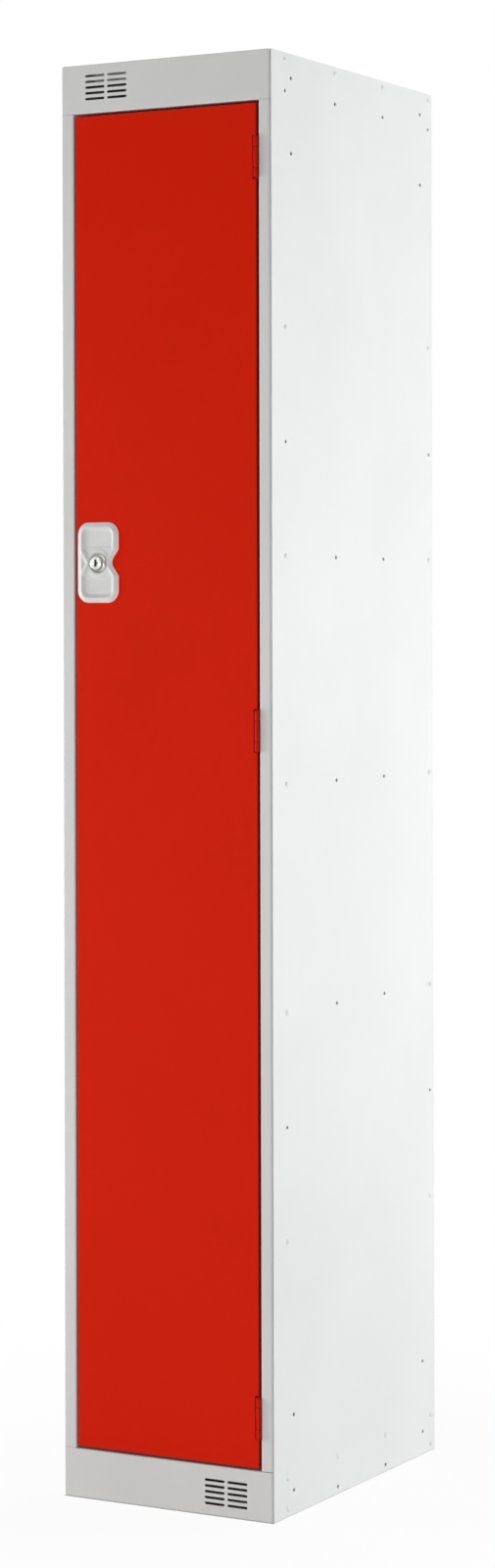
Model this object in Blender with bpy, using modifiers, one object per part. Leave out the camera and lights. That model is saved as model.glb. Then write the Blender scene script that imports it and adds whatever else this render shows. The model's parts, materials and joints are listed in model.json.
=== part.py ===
"""Single-door industrial locker in folded and riveted sheet steel.

Metres, +Z up, front towards -Y. The origin is on the floor under the middle of the carcass.
"""

import math

import bmesh
import bpy
from mathutils import Matrix

MM = 0.001

# Overall size of the carcass
HEIGHT = 1800 * MM
WIDTH = 300 * MM
DEPTH = 450 * MM

# Sheet thicknesses and the gap between pieces that touch
PANEL_SHEET = 0.8 * MM
FRAME_SHEET = 1.0 * MM
DOOR_SHEET = 1.0 * MM
CLEARANCE = 0.3 * MM

# Front frame: header and plinth are one part, turned round
FRAME_END_HEIGHT = 61.5 * MM
LOCK_POST_WIDTH = 18.5 * MM
HINGE_POST_WIDTH = 16.5 * MM
FRAME_FLANGE_DEPTH = 48 * MM
FRAME_RETURN_DEPTH = 25 * MM
JAMB_DEPTH = 26 * MM
STOP_FLANGE_WIDTH = 12 * MM
POST_BEND_RADIUS = 2.0 * MM
SIDE_SETBACK = 3.0 * MM

# Ventilation field in the header and in the plinth
VENT_ROWS = 5
VENT_ROW_PITCH = 7.2 * MM
VENT_SLOT_LENGTH = 28 * MM
VENT_SLOT_HEIGHT = 3.2 * MM
VENT_SLOT_WEB = 4 * MM
VENT_OFFSET = 84 * MM
VENT_EDGE = 29 * MM

# Flanges of the panels between the sides
BACK_FLANGE = 25 * MM
PAN_FLANGE = 20 * MM

# Rivets and open holes in the sides
RIVET_SHANK_RADIUS = 2.0 * MM
RIVET_HEAD_RADIUS = 3.4 * MM
RIVET_HEAD_HEIGHT = 1.4 * MM
RIVET_TAIL = 2.0 * MM
FRONT_COLUMN = 38.5 * MM
REAR_COLUMN = 12 * MM
COLUMNS = 4
END_ROW = 9 * MM
BASE_ROW = 47 * MM
SEAM_PITCH = 281 * MM
SPARE_HOLE_RADIUS = 2.3 * MM
LINK_HOLE_FRONT = 54 * MM
LINK_HOLE_REAR = 36 * MM
LINK_HOLE_ENDS = (30 * MM, 123 * MM)
HOLE_SIDES = 8

# Hat shelf and its double coat hook
SHELF_FRONT_INSET = 29 * MM
HOOK_PLATE_LENGTH = 60 * MM
HOOK_PLATE_WIDTH = 20 * MM
HOOK_PLATE_SHEET = 2.0 * MM
HOOK_WIRE_RADIUS = 2.5 * MM
HOOK_DROP = 55 * MM
HOOK_REACH = 34 * MM
HOOK_LIFT = 26 * MM
HOOK_RIVET_SPACING = 40 * MM

# Door pan
DOOR_GAP = 3.2 * MM
DOOR_PAN_DEPTH = 20 * MM
DOOR_LIP = 15 * MM
STIFFENER_WIDTH = 40 * MM
STIFFENER_DEPTH = 14 * MM

# Hinges
HINGE_HEIGHT = 49.5 * MM
HINGE_MIDDLE_KNUCKLE = 25 * MM
HINGE_RADIUS = 2.9 * MM
HINGE_PIN_RADIUS = 1.4 * MM
HINGE_PIN_HEAD_RADIUS = 2.5 * MM
HINGE_PIN_HEAD = 1.0 * MM
HINGE_PROUD = 2.2 * MM
HINGE_AXIS_OUTSIDE = 0.7 * MM
HINGE_LEAF_SHEET = 1.0 * MM
HINGE_LEAF_DEPTH = 18 * MM
HINGE_NOTCH_REACH = 5.7 * MM
HINGE_TOP_INSET = 67 * MM
HINGE_BOTTOM_INSET = 62 * MM
HINGE_MIDDLE_RISE = 66.5 * MM
HINGE_SIDES = 16

# Lock housing, measured from the lock's axis
LOCK_EDGE = 32 * MM
LOCK_HEIGHT = 1174 * MM
HOUSING_LEFT = 29.2 * MM
HOUSING_RIGHT = 30 * MM
HOUSING_HEIGHT = 102 * MM
HOUSING_CORNER = 12 * MM
HOUSING_RIM_RISE = 3.4 * MM
HOUSING_RIM_SLOPE = 5.5 * MM
HOUSING_TUB_INSET = 3.5 * MM
HOUSING_DISH_INSET = 9.0 * MM
HOUSING_TUB_DEPTH = 4.0 * MM
HOUSING_DISH_DEPTH = 1.0 * MM
WAIST_DEPTH = 11.3 * MM
WAIST_HALF_HEIGHT = 17 * MM
WAIST_ROUND = 12 * MM
DISH_RIB = 8 * MM
BOSS_RADIUS = 16 * MM
BOSS_RISE = 0.3 * MM

# Cylinder lock
LOCK_RING_RADIUS = 12.5 * MM
LOCK_RING_HEIGHT = 2.0 * MM
LOCK_BARREL_RADIUS = 10 * MM
PLUG_RADIUS = 8 * MM
PLUG_PROUD = 4.8 * MM
KEYWAY_WIDTH = 3.5 * MM
KEYWAY_HEIGHT = 9.2 * MM
KEYWAY_DEPTH = 12 * MM
NUT_WIDTH = 26 * MM
NUT_HEIGHT = 4 * MM
SPINDLE_WIDTH = 8 * MM
CAM_SHEET = 2.0 * MM
CAM_GAP = 0.5 * MM
CAM_WIDTH = 18 * MM
CAM_REACH = 34 * MM
SCREW_RADIUS = 2.0 * MM
SCREW_HEAD_RADIUS = 5.5 * MM
SCREW_HEAD_HEIGHT = 2.5 * MM
SCREW_LENGTH = 10 * MM
LOCK_SIDES = 24

# Door buffers
BUFFER_RADIUS = 5 * MM
BUFFER_STUD_RADIUS = 2 * MM
BUFFER_STUD_TAIL = 2 * MM
BUFFER_END_INSET = 235 * MM

# Places that follow from the sizes above
FRONT = -DEPTH / 2
REAR = DEPTH / 2
SIDE = WIDTH / 2
FRAME_SIDE = SIDE - PANEL_SHEET - CLEARANCE
NEST_SIDE = FRAME_SIDE - FRAME_SHEET - CLEARANCE
OPENING_LEFT = -SIDE + LOCK_POST_WIDTH
OPENING_RIGHT = SIDE - HINGE_POST_WIDTH
OPENING_BOTTOM = FRAME_END_HEIGHT
OPENING_TOP = HEIGHT - FRAME_END_HEIGHT
PAN_REAR = REAR - PANEL_SHEET - CLEARANCE
DOOR_LEFT = OPENING_LEFT + DOOR_GAP
DOOR_RIGHT = OPENING_RIGHT - DOOR_GAP
DOOR_BOTTOM = OPENING_BOTTOM + DOOR_GAP
DOOR_TOP = OPENING_TOP - DOOR_GAP
DOOR_MIDDLE = (DOOR_TOP + DOOR_BOTTOM) / 2
DOOR_BACK = FRONT + DOOR_PAN_DEPTH
STOP_FRONT = FRONT + JAMB_DEPTH - FRAME_SHEET
STOP_BACK = FRONT + JAMB_DEPTH
HINGE_X = DOOR_RIGHT + HINGE_AXIS_OUTSIDE
HINGE_Y = FRONT - HINGE_PROUD
LOCK_X = DOOR_LEFT + LOCK_EDGE
BOSS_FRONT = FRONT - BOSS_RISE
TUB_BACK = FRONT + HOUSING_TUB_DEPTH
SEAM_ROWS = [HEIGHT / 2 + step * SEAM_PITCH for step in (-2, -1, 0, 1, 2)]
SHELF_TOP = SEAM_ROWS[-1] + PAN_FLANGE / 2
HINGE_PLACES = {
    "top": DOOR_TOP - HINGE_TOP_INSET,
    "middle": DOOR_MIDDLE + HINGE_MIDDLE_RISE,
    "bottom": DOOR_BOTTOM + HINGE_BOTTOM_INSET,
}


def clear_scene():
    for old in list(bpy.data.objects):
        bpy.data.objects.remove(old, do_unlink=True)


def new_collection(name):
    collection = bpy.data.collections.new(name)
    bpy.context.scene.collection.children.link(collection)
    return collection


def finish_material(name, colour, roughness, metallic):
    material = bpy.data.materials.new(name)
    material.use_nodes = True
    shader = material.node_tree.nodes["Principled BSDF"]
    shader.inputs["Base Color"].default_value = (*colour, 1.0)
    shader.inputs["Roughness"].default_value = roughness
    shader.inputs["Metallic"].default_value = metallic
    return material


clear_scene()
LOCKER = new_collection("industrial_locker")
CUTTERS = new_collection("cutters")

WHITE_PAINT = finish_material("white_paint", (0.84, 0.85, 0.85), 0.45, 0.0)
GREY_PAINT = finish_material("grey_paint", (0.58, 0.58, 0.57), 0.45, 0.0)
RED_PAINT = finish_material("red_paint", (0.52, 0.012, 0.004), 0.40, 0.0)
HOUSING_PLASTIC = finish_material("housing_plastic", (0.60, 0.61, 0.60), 0.40, 0.0)
NICKEL = finish_material("nickel", (0.80, 0.79, 0.76), 0.22, 1.0)
ZINC_STEEL = finish_material("zinc_steel", (0.62, 0.63, 0.64), 0.38, 1.0)
BLACK_RUBBER = finish_material("black_rubber", (0.02, 0.02, 0.02), 0.8, 0.0)


def mesh_object(name, bm, material=None, smooth=False):
    """Make an object from a bmesh: a part if it has a material, otherwise a cutter."""
    mesh = bpy.data.meshes.new(name)
    bm.to_mesh(mesh)
    bm.free()
    piece = bpy.data.objects.new(name, mesh)
    if material is None:
        CUTTERS.objects.link(piece)
        piece.hide_render = True
        piece.display_type = "WIRE"
    else:
        LOCKER.objects.link(piece)
        mesh.materials.append(material)
        if smooth:
            mesh.shade_smooth()
            mesh.set_sharp_from_angle(angle=math.radians(35))
    return piece


def add_box(bm, low, high):
    size = [top - bottom for bottom, top in zip(low, high)]
    centre = [(top + bottom) / 2 for bottom, top in zip(low, high)]
    matrix = Matrix.Translation(centre) @ Matrix.Diagonal((*size, 1.0))
    bmesh.ops.create_cube(bm, size=1.0, matrix=matrix)


def add_rod(bm, centre, axis, radius, length, sides):
    turn = {"X": Matrix.Rotation(math.pi / 2, 4, "Y"), "Y": Matrix.Rotation(math.pi / 2, 4, "X"),
            "Z": Matrix.Identity(4)}[axis]
    bmesh.ops.create_cone(bm, cap_ends=True, segments=sides, radius1=radius, radius2=radius,
                          depth=length, matrix=Matrix.Translation(centre) @ turn)


def box(name, low, high, material=None):
    bm = bmesh.new()
    add_box(bm, low, high)
    return mesh_object(name, bm, material)


def rod(name, centre, axis, radius, length, sides, material=None):
    bm = bmesh.new()
    add_rod(bm, centre, axis, radius, length, sides)
    return mesh_object(name, bm, material, smooth=True)


def combine(target, other, operation="DIFFERENCE"):
    modifier = target.modifiers.new(f"{operation.title()} {other.name}", "BOOLEAN")
    modifier.object = other
    modifier.operation = operation
    modifier.solver = "EXACT"


def corner_arc(before, corner, after, radius, steps=4):
    """Points of the fillet of one corner of a path."""
    to_before = [b - c for b, c in zip(before, corner)]
    to_after = [a - c for a, c in zip(after, corner)]
    length_before = math.hypot(*to_before)
    length_after = math.hypot(*to_after)
    unit_before = [value / length_before for value in to_before]
    unit_after = [value / length_after for value in to_after]
    cosine = unit_before[0] * unit_after[0] + unit_before[1] * unit_after[1]
    half_angle = math.acos(max(-1.0, min(1.0, cosine))) / 2
    reach = min(radius / math.tan(half_angle), 0.49 * length_before, 0.49 * length_after)
    radius = reach * math.tan(half_angle)
    bisector = [b + a for b, a in zip(unit_before, unit_after)]
    scale = radius / math.sin(half_angle) / math.hypot(*bisector)
    centre = [c + value * scale for c, value in zip(corner, bisector)]
    first = [c + value * reach for c, value in zip(corner, unit_before)]
    last = [c + value * reach for c, value in zip(corner, unit_after)]
    start = math.atan2(first[1] - centre[1], first[0] - centre[0])
    sweep = math.atan2(last[1] - centre[1], last[0] - centre[0]) - start
    sweep = (sweep + math.pi) % (2 * math.pi) - math.pi
    angles = [start + sweep * step / steps for step in range(steps + 1)]
    return [(centre[0] + radius * math.cos(angle), centre[1] + radius * math.sin(angle))
            for angle in angles]


def rounded_outline(corners, arc_steps=4):
    """Closed outline from corners given as x, y and fillet radius."""
    points = []
    for index, (x, y, radius) in enumerate(corners):
        before = corners[index - 1][:2]
        after = corners[(index + 1) % len(corners)][:2]
        if radius > 0:
            points.extend(corner_arc(before, (x, y), after, radius, arc_steps))
        else:
            points.append((x, y))
    return points


def rounded_path(corners, radius):
    """Open path whose inner corners are rounded."""
    points = [corners[0]]
    for before, corner, after in zip(corners, corners[1:], corners[2:]):
        points.extend(corner_arc(before, corner, after, radius))
    points.append(corners[-1])
    return points


def curve_to_mesh(name, curve, material=None):
    """Turn a curve into a closed mesh object with welded caps."""
    source = bpy.data.objects.new(f"{name}_curve", curve)
    bpy.context.scene.collection.objects.link(source)
    bpy.context.view_layer.update()
    evaluated = source.evaluated_get(bpy.context.evaluated_depsgraph_get())
    mesh = bpy.data.meshes.new_from_object(evaluated)
    bm = bmesh.new()
    bm.from_mesh(mesh)
    bmesh.ops.remove_doubles(bm, verts=bm.verts, dist=0.01 * MM)
    bmesh.ops.recalc_face_normals(bm, faces=bm.faces)
    bpy.data.objects.remove(source, do_unlink=True)
    bpy.data.meshes.remove(mesh)
    return mesh_object(name, bm, material)


def plate(name, outline, thickness, material=None):
    """Flat plate in the local XY plane, half its thickness to each side."""
    curve = bpy.data.curves.new(name, "CURVE")
    curve.dimensions = "2D"
    curve.fill_mode = "BOTH"
    curve.extrude = thickness / 2
    spline = curve.splines.new("POLY")
    spline.points.add(len(outline) - 1)
    for point, (x, y) in zip(spline.points, outline):
        point.co = (x, y, 0.0, 1.0)
    spline.use_cyclic_u = True
    return curve_to_mesh(name, curve, material)


def stand_up(piece, x, front, back, z):
    """Turn a flat plate upright: its outline faces the front, between two depths."""
    piece.rotation_euler = (math.pi / 2, 0.0, 0.0)
    piece.location = (x, (front + back) / 2, z)
    return piece


def turned(name, profile, sides, material=None, closed=False):
    """Turn a profile of radius and height about the local Z axis."""
    bm = bmesh.new()
    verts = [bm.verts.new((radius, 0.0, height)) for radius, height in profile]
    for first, second in zip(verts, verts[1:]):
        bm.edges.new((first, second))
    if closed:
        bm.edges.new((verts[-1], verts[0]))
    piece = mesh_object(name, bm, material)
    screw = piece.modifiers.new("Turn", "SCREW")
    screw.angle = 2 * math.pi
    screw.steps = sides
    screw.render_steps = sides
    screw.use_merge_vertices = True
    screw.merge_threshold = 0.01 * MM
    screw.use_smooth_shade = True
    return piece


def bent_strip(name, corners, radius, sheet, length, material):
    """Folded strip: the sheet lies to the right of its path and runs up from local Z zero."""
    points = rounded_path(corners, radius)
    bm = bmesh.new()
    verts = [bm.verts.new((x, y, 0.0)) for x, y in points]
    edges = [bm.edges.new(pair) for pair in zip(verts, verts[1:])]
    raised = bmesh.ops.extrude_edge_only(bm, edges=edges)["geom"]
    raised_verts = [item for item in raised if isinstance(item, bmesh.types.BMVert)]
    bmesh.ops.translate(bm, verts=raised_verts, vec=(0.0, 0.0, length))
    bm.normal_update()
    heading = (points[1][0] - points[0][0], points[1][1] - points[0][1])
    first_face = next(face for face in verts[0].link_faces)
    normal = first_face.normal
    if normal.x * heading[1] - normal.y * heading[0] < 0:
        bmesh.ops.reverse_faces(bm, faces=bm.faces)
    piece = mesh_object(name, bm, material)
    fold = piece.modifiers.new("Sheet", "SOLIDIFY")
    fold.thickness = sheet
    fold.offset = 1.0
    fold.use_even_offset = True
    return piece


def pan(name, low, high, sheet, flange, material, open_front=False):
    """Tray turned upside down: a top sheet with flanges folded down at its edges."""
    bottom = high[2] - flange
    tray = box(name, (low[0], low[1], bottom), high, material)
    hollow_front = low[1] - sheet if open_front else low[1] + sheet
    hollow = box(f"{name}_hollow", (low[0] + sheet, hollow_front, bottom - sheet),
                 (high[0] - sheet, high[1] - sheet, high[2] - sheet))
    combine(tray, hollow)
    return tray


def column_depths():
    front = FRONT + FRONT_COLUMN
    rear = REAR - REAR_COLUMN
    return [front + (rear - front) * index / (COLUMNS - 1) for index in range(COLUMNS)]


def rivet_places():
    """Depth and height of every riveted joint of one side, by the name of its row."""
    depths = column_depths()
    places = {}
    for index, depth in enumerate(depths, start=1):
        places[f"top_{index}"] = (depth, HEIGHT - END_ROW)
        places[f"base_{index}"] = (depth, BASE_ROW)
    for index, row in enumerate(SEAM_ROWS, start=1):
        places[f"front_{index}"] = (depths[0], row)
        places[f"rear_{index}"] = (depths[-1], row)
    places["foot_front"] = (depths[0], END_ROW)
    places["foot_rear"] = (depths[-1], END_ROW)
    return places


def spare_hole_places():
    """Depth and height of every hole of one side that stays open."""
    depths = column_depths()
    places = [(depth, HEIGHT - BASE_ROW) for depth in depths]
    places += [(depth, END_ROW) for depth in depths[1:-1]]
    places += [(depth, row) for depth in depths[1:-1] for row in SEAM_ROWS[1:-1]]
    for depth in (depths[0], depths[-1]):
        places += [(depth, HEIGHT / 2 + step * SEAM_PITCH) for step in (-1.5, 1.5)]
    for depth in (FRONT + LINK_HOLE_FRONT, REAR - LINK_HOLE_REAR):
        places += [(depth, end) for end in LINK_HOLE_ENDS]
        places += [(depth, HEIGHT - end) for end in LINK_HOLE_ENDS]
    return places


def side_drillings():
    """One cutter for the rivet holes and the open holes of both sides."""
    length = 4 * (SIDE - NEST_SIDE + PANEL_SHEET)
    bm = bmesh.new()
    for side in (-SIDE, SIDE):
        for depth, height in rivet_places().values():
            radius = RIVET_SHANK_RADIUS + CLEARANCE
            add_rod(bm, (side, depth, height), "X", radius, length, HOLE_SIDES)
        for depth, height in spare_hole_places():
            add_rod(bm, (side, depth, height), "X", SPARE_HOLE_RADIUS, length, HOLE_SIDES)
    return mesh_object("side_drillings", bm)


def vent_slots():
    """One cutter for the slots of both ventilation fields."""
    slot = rounded_outline([
        (sx * VENT_SLOT_LENGTH / 2, sz * VENT_SLOT_HEIGHT / 2, VENT_SLOT_HEIGHT / 2)
        for sx, sz in ((-1, -1), (1, -1), (1, 1), (-1, 1))], arc_steps=2)
    upright = Matrix.Rotation(math.pi / 2, 4, "X")
    pattern = bmesh.new()
    for x, middle in ((VENT_OFFSET, VENT_EDGE), (-VENT_OFFSET, HEIGHT - VENT_EDGE)):
        for row in range(VENT_ROWS):
            height = middle + (row - (VENT_ROWS - 1) / 2) * VENT_ROW_PITCH
            for side in (-1, 1):
                slot_x = x + side * (VENT_SLOT_LENGTH + VENT_SLOT_WEB) / 2
                single = plate("vent_slot", slot, 4 * FRAME_SHEET)
                single.data.transform(Matrix.Translation((slot_x, FRONT, height)) @ upright)
                pattern.from_mesh(single.data)
                bpy.data.objects.remove(single, do_unlink=True)
    return mesh_object("vent_slots", pattern)


def side_panels(drillings):
    for name, inner, outer in (("side_panel_left", -SIDE, -SIDE + PANEL_SHEET),
                               ("side_panel_right", SIDE - PANEL_SHEET, SIDE)):
        panel = box(name, (inner, FRONT + SIDE_SETBACK, 0.0), (outer, REAR, HEIGHT), WHITE_PAINT)
        combine(panel, drillings)


def back_panel(drillings):
    panel = box("back_panel", (-FRAME_SIDE, REAR - BACK_FLANGE, 0.0), (FRAME_SIDE, REAR, HEIGHT),
                WHITE_PAINT)
    hollow = box("back_panel_hollow",
                 (-FRAME_SIDE + PANEL_SHEET, REAR - 2 * BACK_FLANGE, -BACK_FLANGE),
                 (FRAME_SIDE - PANEL_SHEET, REAR - PANEL_SHEET, HEIGHT + BACK_FLANGE))
    combine(panel, hollow)
    combine(panel, drillings)


def top_and_base_panels(drillings):
    top_front = FRONT + FRAME_RETURN_DEPTH + CLEARANCE
    top = pan("top_panel", (-NEST_SIDE, top_front, 0.0), (NEST_SIDE, PAN_REAR, HEIGHT),
              PANEL_SHEET, PAN_FLANGE, WHITE_PAINT)
    combine(top, drillings)
    base_top = OPENING_BOTTOM - FRAME_SHEET - CLEARANCE
    base_front = FRONT + FRAME_SHEET + CLEARANCE
    base = pan("base_panel", (-NEST_SIDE, base_front, 0.0), (NEST_SIDE, PAN_REAR, base_top),
               PANEL_SHEET, PAN_FLANGE, WHITE_PAINT, open_front=True)
    combine(base, drillings)


def frame_ends(drillings, vents):
    """Plinth on the floor, and the header as the same part turned upside down."""
    for name, turn, height in (("frame_plinth", 0.0, 0.0), ("frame_header", math.pi, HEIGHT)):
        end = box(name, (-FRAME_SIDE, FRONT, 0.0),
                  (FRAME_SIDE, FRONT + FRAME_FLANGE_DEPTH, FRAME_END_HEIGHT), GREY_PAINT)
        inner_side = FRAME_SIDE - FRAME_SHEET
        hollow = box(f"{name}_hollow", (-inner_side, FRONT + FRAME_SHEET, FRAME_SHEET),
                     (inner_side, FRONT + 2 * FRAME_FLANGE_DEPTH, FRAME_END_HEIGHT - FRAME_SHEET))
        trim = box(f"{name}_trim", (-inner_side, FRONT + FRAME_RETURN_DEPTH, -FRAME_SHEET),
                   (inner_side, FRONT + 2 * FRAME_FLANGE_DEPTH, FRAME_END_HEIGHT + FRAME_SHEET))
        for piece in (end, hollow, trim):
            piece.rotation_euler = (0.0, turn, 0.0)
            piece.location = (0.0, 0.0, height)
        for cutter in (hollow, trim, vents, drillings):
            combine(end, cutter)


def frame_posts(drillings, stud_holes):
    right = [(FRAME_SIDE, FRONT + FRAME_FLANGE_DEPTH), (FRAME_SIDE, FRONT),
             (OPENING_RIGHT, FRONT), (OPENING_RIGHT, STOP_FRONT),
             (OPENING_RIGHT - STOP_FLANGE_WIDTH, STOP_FRONT)]
    left = [(OPENING_LEFT + STOP_FLANGE_WIDTH, STOP_FRONT), (OPENING_LEFT, STOP_FRONT),
            (OPENING_LEFT, FRONT), (-FRAME_SIDE, FRONT), (-FRAME_SIDE, FRONT + FRAME_FLANGE_DEPTH)]
    length = OPENING_TOP - OPENING_BOTTOM - 2 * CLEARANCE
    for name, corners in (("frame_post_right", right), ("frame_post_left", left)):
        post = bent_strip(name, corners, POST_BEND_RADIUS, FRAME_SHEET, length, GREY_PAINT)
        post.location = (0.0, 0.0, OPENING_BOTTOM + CLEARANCE)
        combine(post, drillings)
        if name == "frame_post_left":
            combine(post, stud_holes)


def hat_shelf(drillings, hook_holes):
    shelf = pan("hat_shelf", (-NEST_SIDE, FRONT + SHELF_FRONT_INSET, 0.0),
                (NEST_SIDE, PAN_REAR, SHELF_TOP), PANEL_SHEET, PAN_FLANGE, WHITE_PAINT)
    combine(shelf, drillings)
    combine(shelf, hook_holes)


def hook_rivet_places():
    return {"left": -HOOK_RIVET_SPACING / 2, "right": HOOK_RIVET_SPACING / 2}


def coat_hook_holes():
    bm = bmesh.new()
    for x in hook_rivet_places().values():
        add_rod(bm, (x, 0.0, SHELF_TOP), "Z", RIVET_SHANK_RADIUS + CLEARANCE, PAN_FLANGE, HOLE_SIDES)
    return mesh_object("coat_hook_holes", bm)


def hook_prong(name, direction, plate_bottom):
    """One wire prong: down from the plate, out and up again."""
    start = direction * HOOK_WIRE_RADIUS
    route = [(start, plate_bottom + HOOK_PLATE_SHEET / 2), (start, plate_bottom - HOOK_DROP)]
    bend = HOOK_REACH / 2
    for step in range(1, 9):
        angle = math.pi * step / 8
        route.append((start + direction * bend * (1 - math.cos(angle)),
                      plate_bottom - HOOK_DROP - bend * math.sin(angle)))
    route.append((start + direction * HOOK_REACH, plate_bottom - HOOK_DROP + HOOK_LIFT))
    curve = bpy.data.curves.new(name, "CURVE")
    curve.dimensions = "3D"
    curve.bevel_depth = HOOK_WIRE_RADIUS
    curve.bevel_resolution = 2
    curve.use_fill_caps = True
    spline = curve.splines.new("POLY")
    spline.points.add(len(route) - 1)
    for point, (x, z) in zip(spline.points, route):
        point.co = (x, 0.0, z, 1.0)
    return curve_to_mesh(name, curve)


def coat_hook(hook_holes):
    plate_top = SHELF_TOP - PANEL_SHEET - CLEARANCE
    plate_bottom = plate_top - HOOK_PLATE_SHEET
    half_length = HOOK_PLATE_LENGTH / 2
    half_width = HOOK_PLATE_WIDTH / 2
    hook = box("coat_hook", (-half_length, -half_width, plate_bottom),
               (half_length, half_width, plate_top), ZINC_STEEL)
    for name, direction in (("hook_prong_left", -1), ("hook_prong_right", 1)):
        combine(hook, hook_prong(name, direction, plate_bottom), "UNION")
    combine(hook, hook_holes)


def rivet_profile(grip):
    """Dome head above local Z zero, shank down through the grip, tail below it."""
    tail = grip + 2 * CLEARANCE + RIVET_TAIL
    head = [(RIVET_HEAD_RADIUS * math.sin(angle), CLEARANCE + RIVET_HEAD_HEIGHT * math.cos(angle))
            for angle in (0.0, math.pi / 6, math.pi / 3, math.pi / 2)]
    return head + [(RIVET_SHANK_RADIUS, CLEARANCE), (RIVET_SHANK_RADIUS, -tail), (0.0, -tail)]


def side_rivets():
    """Rivets of the top, base and front joints; the rear joints keep open holes."""
    profile = rivet_profile(SIDE - NEST_SIDE + PANEL_SHEET)
    for side_name, side, turn in (("left", -SIDE, -math.pi / 2), ("right", SIDE, math.pi / 2)):
        for row_name, (depth, height) in rivet_places().items():
            if row_name.startswith(("rear", "foot")):
                continue
            rivet = turned(f"rivet_{side_name}_{row_name}", profile, HOLE_SIDES, WHITE_PAINT)
            rivet.location = (side, depth, height)
            rivet.rotation_euler = (0.0, turn, 0.0)


def hook_rivets():
    profile = rivet_profile(PANEL_SHEET + HOOK_PLATE_SHEET)
    for side_name, x in hook_rivet_places().items():
        rivet = turned(f"hook_rivet_{side_name}", profile, HOLE_SIDES, ZINC_STEEL)
        rivet.location = (x, 0.0, SHELF_TOP)


def buffer_places():
    return {"upper": DOOR_TOP - BUFFER_END_INSET, "lower": DOOR_BOTTOM + BUFFER_END_INSET}


def buffer_x():
    return OPENING_LEFT + STOP_FLANGE_WIDTH / 2


def buffer_stud_holes():
    bm = bmesh.new()
    for height in buffer_places().values():
        add_rod(bm, (buffer_x(), STOP_FRONT, height), "Y", BUFFER_STUD_RADIUS + CLEARANCE,
                JAMB_DEPTH / 2, HOLE_SIDES)
    return mesh_object("buffer_stud_holes", bm)


def door_buffers():
    """Rubber buttons on the lock-side stop flange, each with a stud through the flange."""
    pad = STOP_FRONT - DOOR_BACK - 2 * CLEARANCE
    stud = FRAME_SHEET + CLEARANCE + BUFFER_STUD_TAIL
    profile = [(0.0, pad), (BUFFER_RADIUS * 0.8, pad), (BUFFER_RADIUS, pad * 0.7),
               (BUFFER_RADIUS, 0.0), (BUFFER_STUD_RADIUS, 0.0), (BUFFER_STUD_RADIUS, -stud),
               (0.0, -stud)]
    for side_name, height in buffer_places().items():
        pad_piece = turned(f"door_buffer_{side_name}", profile, 12, BLACK_RUBBER)
        pad_piece.location = (buffer_x(), STOP_FRONT - CLEARANCE, height)
        pad_piece.rotation_euler = (math.pi / 2, 0.0, 0.0)


def housing_outline(inset):
    """Outline of the lock housing about the lock's axis, drawn in from its edge."""
    left = -HOUSING_LEFT + inset
    right = HOUSING_RIGHT - inset
    half = HOUSING_HEIGHT / 2 - inset
    corner = max(HOUSING_CORNER - inset, 2 * CLEARANCE)
    tip = right - WAIST_DEPTH
    return rounded_outline([
        (left, -half, corner), (right, -half, corner), (right, -WAIST_HALF_HEIGHT, WAIST_ROUND),
        (tip, 0.0, WAIST_ROUND), (right, WAIST_HALF_HEIGHT, WAIST_ROUND), (right, half, corner),
        (left, half, corner)])


def dish_outline():
    """Outline of the dish: as the housing, with a waist on both sides."""
    left = -HOUSING_LEFT + HOUSING_DISH_INSET
    right = HOUSING_RIGHT - HOUSING_DISH_INSET
    half = HOUSING_HEIGHT / 2 - HOUSING_DISH_INSET
    corner = HOUSING_CORNER - HOUSING_DISH_INSET / 2
    return rounded_outline([
        (left, -half, corner), (right, -half, corner), (right, -WAIST_HALF_HEIGHT, WAIST_ROUND),
        (right - WAIST_DEPTH, 0.0, WAIST_ROUND), (right, WAIST_HALF_HEIGHT, WAIST_ROUND),
        (right, half, corner), (left, half, corner), (left, WAIST_HALF_HEIGHT, WAIST_ROUND),
        (left + DISH_RIB, 0.0, WAIST_ROUND), (left, -WAIST_HALF_HEIGHT, WAIST_ROUND)])


def draw_in_front(piece, outline, narrower):
    """Move a plate's front edge from its outline to a narrower one, so that its sides slope."""
    for vertex in piece.data.vertices:
        if vertex.co.z > 0:
            nearest = min(range(len(outline)), key=lambda index: math.dist(vertex.co[:2], outline[index]))
            vertex.co.x, vertex.co.y = narrower[nearest]


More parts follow.
